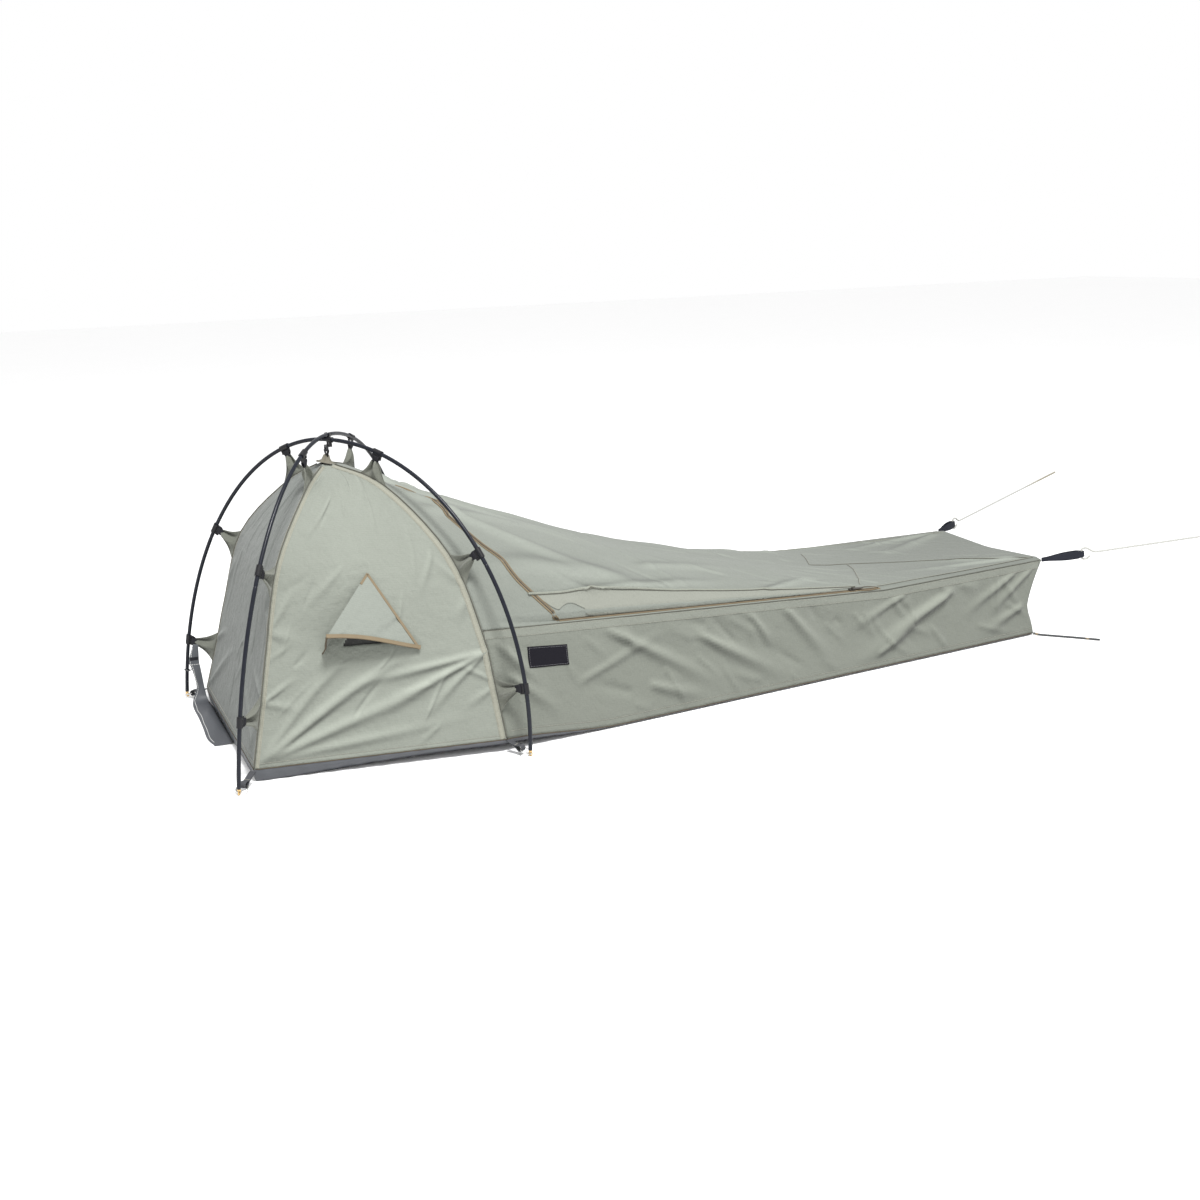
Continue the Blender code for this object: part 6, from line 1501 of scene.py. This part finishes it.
storm_line = smooth_line([from_above(x, y) for x, y in STORM_SEAM], 12)
flap_x = np.linspace(-0.424, 0.480, 170)
seam_points = [from_above(x, y) for x, y, _ in line_at_x(storm_line, flap_x)]
room = np.exp(-(((flap_x - SLIDER_LAST_X) / ROOM_LENGTH) ** 2))
zip_points = line_at_x(whole, flap_x) + FLAP_EDGE + room[:, None] * SLIDER_ROOM
shares = np.linspace(0, 1, 17)[:, None]
storm_grid = np.array([[drop("roof", spot)[0] for spot in foot + (head - foot) * shares]
                       for head, foot in zip(seam_points, zip_points)])
storm_grid = storm_grid + grid_normals(storm_grid, CLOTHS["roof"][1]) * STORM_RISE
storm_cloth = canvas_finish("storm_flap_cloth", (0.200, 0.208, 0.178), (0.160, 0.167, 0.143))
storm = sheet_object("storm_flap_canvas", storm_grid, STORM_THICKNESS, storm_cloth, CLOTHS["roof"][1])
storm_area = round(grid_area(storm_grid), 4)
declare_sheet(storm, storm_area)

# %% Gaping end of the zip
GAPE_START, GAPE_HALF, LIP_RADIUS = 0.486, 0.0078, 0.0011
# The open end of the zip shows a near-black band: painted shadow inside the opening.
gape_painted_shadow = Finish("gape_shadow", roughness=0.95)
gape_painted_shadow.set(base_color=gape_painted_shadow.mix(gape_painted_shadow.noise(gape_painted_shadow.place(), 200.0), (0.004, 0.004, 0.005),
                                         (0.010, 0.010, 0.011)))
gape_line = even_line([roof_edge(x) + band_side * ZIP_SHARE
                       for x in np.linspace(GAPE_START, ZIP_END_X - 0.003, 24)], 0.003)
opening = window(np.linspace(0.02, 0.98, len(gape_line))) ** 0.7
rings, flat, lips = [], [], {"upper": [], "lower": []}
for point, reach in zip(gape_line, opening):
    spot, normal = drop("roof", point)
    side = unit(np.cross(normal, (1.0, 0.0, 0.0)))
    side = side if side[1] > 0 else -side
    half = GAPE_HALF * reach
    rings.append([spot + side * half * way + normal * rise
                  for way, rise in ((-1, 0.0012), (1, 0.0012), (1, 0.0005), (-1, 0.0005))])
    flat.append([-half, half, half, -half])
    for name, sign, rise in (("upper", 1, 0.0022), ("lower", -1, 0.0004)):
        lips[name].append(spot + side * sign * (half + 0.0010) + normal * (0.0012 + rise * reach))
along = np.repeat(lengths(gape_line)[:, None], 4, axis=1)
attach(band_object("zip_gape_painted_shadow", rings, (np.array(flat), along), gape_painted_shadow.material))
for name, finish in (("upper", shaded_binding), ("lower", binding_brown)):
    attach(tube_object(f"zip_lip_{name}", lips[name], LIP_RADIUS, finish, 10))
print("open end of the zip, m:", round(float(lengths(gape_line)[-1]), 3))

# %% [markdown]
# ## Seams and hems on the roof and wall
# The roof is cut in several pieces. The storm flap is sewn down along its upper edge, two short seams
# close a strip in the middle, long seams follow both edges, and a folded hem stiffens the top of the
# wall. They are laid as thin bands with a row of thread, in the places that the photograph shows.

# %% Roof and wall seams
ROOF_SEAMS = {
    "storm_flap": (STORM_SEAM, 0.0060, 1.0),
    "short_near_head": (((0.580, 0.144), (0.553, 0.079), (0.510, -0.009)), 0.0030, 0.0),
    "short_near_foot": (((0.633, -0.006), (0.590, -0.109), (0.523, -0.230)), 0.0030, 0.0),
    "middle": (((0.510, -0.009), (0.633, -0.006), (0.780, -0.050), (1.027, -0.174), (1.105, -0.205)),
               0.0030, 0.0),
    "near_edge": (((0.567, -0.246), (0.700, -0.236), (0.848, -0.227), (1.110, -0.207)), 0.0050, 1.0),
    "far_edge": (((-0.300, 0.296), (0.100, 0.262), (0.592, 0.226), (1.110, 0.190)), 0.0050, -1.0),
}
STORM_LIFT, SHADE_WIDTH = 0.0022, 0.0018
for name, (places, width, side) in ROOF_SEAMS.items():
    line = smooth_line([from_above(x, y) for x, y in places], 12)
    base = STORM_LIFT if name == "storm_flap" else 0.0
    laid_band(f"roof_seam_{name}", "roof", line, width, base + TAPE_HEIGHT, hem_cloth)
    laid_band(f"roof_seam_shade_{name}", "roof", line, SHADE_WIDTH, base + 0.0014, seam_shadow_cloth,
              (width / 2 + 0.0004) * (side or 1.0))
    stitch_row(f"roof_stitch_{name}", "roof", line, thread_olive, lift=base + 0.0018)

HEM_BAND_WIDTH, HEM_DROP = 0.020, np.array((0.0, 0.004, -0.0125))
wall_hem_cloth = canvas_finish("wall_hem_cloth", (0.172, 0.183, 0.156), (0.134, 0.143, 0.121))
hem_line = roof_edge(np.linspace(ROOF_START[0] + 0.004, 1.112, 150)) + HEM_DROP
top_edge = roof_edge(np.linspace(ROOF_START[0] + 0.004, 1.120, 150))
for label, factors in SIDES.items():
    line = hem_line * factors
    laid_band(f"wall_hem_{label}", "wall", line, HEM_BAND_WIDTH, 0.0010, wall_hem_cloth)
    stitch_row(f"wall_hem_stitch_{label}", "wall", line, thread_cream, shifts=(-0.0075, 0.0085), lift=0.0017)
    # A thin dark line along the top edge of the wall: painted shadow under the roof's edge.
    attach(tube_object(f"wall_top_shadow_line_{label}", even_line(top_edge * factors, 0.008), 0.0011,
                       seam_shadow_cloth, 8))
print("roof and wall seams:", len(ROOF_SEAMS))

# %% Bottom hems
for name, grid in (*grids.items(), ("wall", wall)):
    stitch_row(f"bottom_stitch_{name}", name, grid[2, 2:-2], thread_cream)
hem_edge = np.vstack((wall[0], grids["far"][0][1:], grids["head"][0][1:], grids["near"][0][1:]))
hem_cord = tube_object("hem_edge_cord", even_line(hem_edge - Z * 0.0002, 0.012), 0.0011, shaded_binding, 8)
attach(hem_cord)
print("round the bottom hem, m:", round(float(lengths(hem_edge)[-1]), 3))

# %% [markdown]
# ## Patch and flap stitching
# A black hook-and-loop patch is sewn on the wall near the dome, and its threads run round it just
# inside the edge. The floor flap has white thread along its free edge, and the strap that ties it is
# sewn on with a dark line across.

# %% Hook-and-loop patch
patch_black = Finish("hook_and_loop", roughness=0.95, specular_ior_level=0.1)
fuzz = patch_black.noise(patch_black.place(), 900.0, 3.0, 0.7)
patch_black.set(base_color=patch_black.mix(fuzz, (0.004, 0.004, 0.006), (0.014, 0.013, 0.017)))
patch_black.relief(fuzz, 0.0010, 0.9)
PATCH = np.array(((-0.459, -0.36, 0.172), (-0.356, -0.35, 0.163), (-0.356, -0.345, 0.210),
                  (-0.457, -0.35, 0.220)))
rise, across = share_grid(14, 28)
low, high = [PATCH[a] * (1 - across)[..., None] + PATCH[b] * across[..., None] for a, b in ((0, 1), (3, 2))]
flat = low * (1 - rise)[..., None] + high * rise[..., None]
patch_grid = np.array([[drop("wall", point)[0] for point in row] for row in flat])
edge_gap = np.minimum(np.minimum(across, 1 - across) * 24, np.minimum(rise, 1 - rise) * 12)
patch_inside = CLOTHS["wall"][1]
lift = 0.0026 * np.clip(edge_gap, 0.5, 1)
patch_grid = patch_grid + grid_normals(patch_grid, patch_inside) * lift[..., None]
patch = sheet_object("patch_cloth", patch_grid, 0.0020, patch_black.material, patch_inside)
add_cloth("patch", patch_grid, patch_inside)
border = np.vstack((patch_grid[1, 1:-1], patch_grid[1:-1, -2], patch_grid[-2, 1:-1][::-1],
                    patch_grid[1:-1, 1][::-1]))
patch_thread = thread_finish("patch_thread", (0.10, 0.10, 0.11), (0.05, 0.05, 0.055))
patch_stitch = stitch_row("patch_stitch", "patch", border, patch_thread, lift=0.0011)
declare_sheet(patch, round(grid_area(patch_grid), 5),
              node="hook_and_loop_patch")

# %% Flap stitching
stitch_row("flap_edge_stitch", "flap", flap_grid[4:-4, -3], thread_white, (0.0,), 0.0014,
           0.0050, 0.0036, 0.0012)
stitch_row("flap_cross_stitch", "flap", flap_grid[-22, 1:-1], thread_white, (0.0,), 0.0014,
           0.0045, 0.0034, 0.0012)
laid_band("flap_strap", "flap", flap_grid[-15, 1:-1], 0.0080, 0.0014, webbing_black, 0,
          0.004)
print("flap stitched along, m:", round(float(lengths(flap_grid[4:-4, -3])[-1]), 3))

# %% [markdown]
# ## Poles
# Each pole is a springy fibreglass rod in four sections that plug into each other. Pushed into the
# corner rings it bends into an arch, and the two arches cross over the head. A section is one tube
# along the arch with a dark gloss coat, and each joint shows as a fine step.

# %% Poles
POLE_BASE_LENGTH, POLE_END_HEIGHT = 0.430, 0.014
ARCHES = {"near_head_pole": ("near_head", "far_mid", 1.0), "far_head_pole": ("far_head", "near_mid", -1.0)}
pole_coat = Finish("pole_coat", roughness=0.30, specular_ior_level=0.16, coat_weight=0.04,
                   coat_roughness=0.12)
scuffs = pole_coat.noise(pole_coat.place(), 70.0, 4.0, 0.6)
pole_coat.set(base_color=pole_coat.mix(scuffs, (0.004, 0.005, 0.009), (0.014, 0.016, 0.022)))
pole_coat.relief(scuffs, 0.0002, 0.3)


def arch(start, end, level):
    """A pole's middle line from foot to foot."""
    height = POLE_TOP + level * (POLE_RADIUS + GAP)
    last = math.acos(POLE_END_HEIGHT / height)
    turns = np.linspace(-last, last, 361)
    reach = np.where((turns < 0)[:, None], spoke(start), spoke(end))
    return CROSSING + reach * np.sin(np.abs(turns))[:, None] + UP * height * np.cos(turns)[:, None]


def eased_ends(total):
    """A rod radius that steps down by a hair at both ends of a section."""
    def radius(along, around):
        edge = np.minimum(along, total - along)
        return POLE_RADIUS + 0.0004 - 0.0007 * np.exp(-((edge / 0.0012) ** 2))
    return radius


STEP_PLACES, POINT_SPACING = np.array((0.0, 0.0008, 0.0016, 0.003)), 0.008
for pole, (start, end, level) in ARCHES.items():
    line = arch(start, end, level)
    total = float(lengths(line)[-1])
    middle = (total - 2 * POLE_BASE_LENGTH) / 2
    stops = (0.0, POLE_BASE_LENGTH, POLE_BASE_LENGTH + middle, POLE_BASE_LENGTH + 2 * middle, total)
    for number, (low, high) in enumerate(zip(stops, stops[1:]), start=1):
        run = high - low
        between_steps = np.linspace(POINT_SPACING, run - POINT_SPACING, int(run / POINT_SPACING))
        places = low + np.concatenate((STEP_PLACES, between_steps, run - STEP_PLACES[::-1]))
        rod = tube_object(f"{pole}_rod_{number}", at_length(line, places), eased_ends(run),
                          pole_coat.material, 20)
        attach(rod, node=f"{pole}_section_{number}")
    print(pole, "length, m:", round(total, 3))

# %% [markdown]
# ## Corner straps
# At each corner a short grey webbing strap comes from the hem, goes round the steel ring and back. It
# holds the pole's foot against the spring of the arch, so it is always taut.

# %% Corner straps
EYE_HEIGHT, RING_RADIUS, STRAP_TURN, STRAP_HEM_GAP = 0.0059, 0.0125, 0.0067, 0.0065
STRAP_HALF_WIDTH, STRAP_HALF_THICKNESS, BARTACK_PLACE = 0.0070, 0.0007, 0.0150
webbing_grey = webbing_finish("grey_webbing", (0.070, 0.072, 0.078), (0.036, 0.037, 0.041), 0.7)
for corner in CORNERS:
    eye, hem = np.array((*CORNERS[corner], EYE_HEIGHT)), SEAMS[corner][0]
    pull = unit(hem - eye)
    wire_point = eye + pull * (0.0008 + 2 * RING_RADIUS)
    across = unit(np.cross(Z, pull))
    rise = np.cross(pull, across)
    reach = float((hem - wire_point) @ pull) - STRAP_HEM_GAP
    one_way = [(reach, 0.0008), (reach * 0.7, 0.0009), (0.016, 0.0010), (0.012, 0.0016), (0.0075, 0.0040)]
    turn = [(STRAP_TURN * math.cos(a), STRAP_TURN * math.sin(a)) for a in np.radians(np.arange(65, 296, 23))]
    line = smooth_line([wire_point + pull * a + rise * b for a, b in there_and_back(one_way, turn)], 3)
    strap = strap_object(f"corner_webbing_{corner}", line, across, STRAP_HALF_WIDTH,
                         STRAP_HALF_THICKNESS, webbing_grey)
    attach(strap, node=f"corner_strap_{corner}")
    bar = [eye + pull * (2 * RING_RADIUS + BARTACK_PLACE) + across * side + rise * 0.0022
           for side in (-0.0062, 0.0, 0.0062)]
    attach(tube_object(f"corner_bartack_{corner}", smooth_line(bar, 4), 0.0006, thread_cream, 6))
    print(corner, "strap reaches, m:", round(reach, 3))

# %% [markdown]
# ## Crown tape
# The double hook over the crossing carries the top of the tent. Black webbing goes round its bar and
# is sewn to a gathered strip of canvas, which spreads again where it meets the four seams.

# %% Crown tape
# The clip's plate lies this far under the crossing, and the slotted body under it is this tall.
PLATE_DROP, BODY_HEIGHT, OUT = 0.0179, 0.0130, 0.0037
top = CROSSING + UP * POLE_TOP
bar_bottom = top[2] - PLATE_DROP - BODY_HEIGHT
NECK = bar_bottom - 0.012
high = bar_bottom + OUT
one_way = [(0.0009, NECK - 0.010), (0.0009, NECK), (0.0026, NECK + 0.006), (OUT, bar_bottom - 0.0006),
           (OUT, high - 0.002), (0.0020, high)]
outline = one_way + [(-a, z) for a, z in reversed(one_way)]
line = smooth_line([(top[0] - a, top[1], z) for a, z in outline], 4)
narrow = 0.0045 + 0.0055 * ease((line[:, 2] - NECK + 0.008) / 0.020)
crown_webbing = strap_object("crown_webbing", line, (0.0, 1.0, 0.0), narrow, WEB_HALF_THICKNESS,
                             webbing_black)
attach(crown_webbing, node="crossing_strap")
crown = CROSSING + UP * (CANVAS_TOP + 0.0012)
neck_point = np.array((top[0], top[1], NECK + 0.003))
PLACES, REACHES = zip((0.00, 0.0062), (0.10, 0.0070), (0.28, 0.0078), (0.50, 0.0090), (0.70, 0.0115),
                      (0.85, 0.0150), (0.95, 0.0200), (1.00, 0.0235))
path = neck_point + (crown - neck_point) * np.linspace(0, 1, 44)[:, None]


def gathered(along, around):
    """Cloth drawn together: pleats that are deep at the neck and open towards the crown."""
    share = along / along.max()
    reach = np.interp(share, PLACES, REACHES)
    pleats = 0.17 * np.sin(5 * around + 2.2 * share) + 0.10 * np.sin(9 * around - 1.5 * share)
    flat = 1.0 - 0.35 * (1 - share) * np.abs(np.cos(around))
    return reach * flat * (1 + pleats * (0.4 + 0.6 * share))


tan_cloth = canvas_finish("crown_cloth", (0.155, 0.145, 0.112), (0.100, 0.092, 0.070), 0.0026)
gather = tube_object("crown_gather", path, gathered, tan_cloth, 60)
declare_sheet(gather, 0.0021)

# %% [markdown]
# ## Plastic and metal
# The clips are black moulded plastic, the pins are turned brass and the rings are plated steel. The
# zip's slider is a small cast shell over the teeth with a bridge on top, and the pull is a flat tag
# that swings on that bridge. Their shapes come from the CAD, so they only need a finish.


# %% Plastic and metal finishes
def solid_finish(name, light, dark, roughness, metallic=0.0):
    """A hard surface with a little wear."""
    made = Finish(name, metallic=metallic, specular_ior_level=0.5 if metallic else 0.22)
    wear = made.noise(made.place(), 260.0, 4.0, 0.6)
    made.set(base_color=made.mix(wear, dark, light), roughness=wear * 0.16 + (roughness - 0.08))
    made.relief(wear, 0.0002, 0.4)
    return made.material


HARD_FINISHES = {
    "pole_clip_": solid_finish("black_plastic", (0.014, 0.014, 0.016), (0.005, 0.005, 0.006), 0.36),
    "crossing_clip": solid_finish("black_plastic_hook", (0.016, 0.016, 0.018), (0.006, 0.006, 0.007), 0.34),
    "pole_pin_": solid_finish("turned_brass", (0.72, 0.50, 0.22), (0.46, 0.30, 0.12), 0.30, 1.0),
    "foot_ring_": solid_finish("plated_steel", (0.62, 0.62, 0.60), (0.36, 0.36, 0.35), 0.28, 1.0),
    "zip_slider": solid_finish("dark_cast_metal", (0.080, 0.072, 0.060), (0.030, 0.026, 0.022), 0.38, 0.8),
    "zip_pull": solid_finish("dark_pull_metal", (0.090, 0.080, 0.066), (0.034, 0.030, 0.025), 0.36, 0.8),
}
dressed = 0
for node in nodes:
    name = node if isinstance(node, str) else node["name"]
    for start, material in HARD_FINISHES.items():
        if name.startswith(start) and name in bpy.data.objects:
            for slot in bpy.data.objects[name].material_slots:
                slot.material = material
            dressed += 1
print("hard pieces dressed:", dressed)
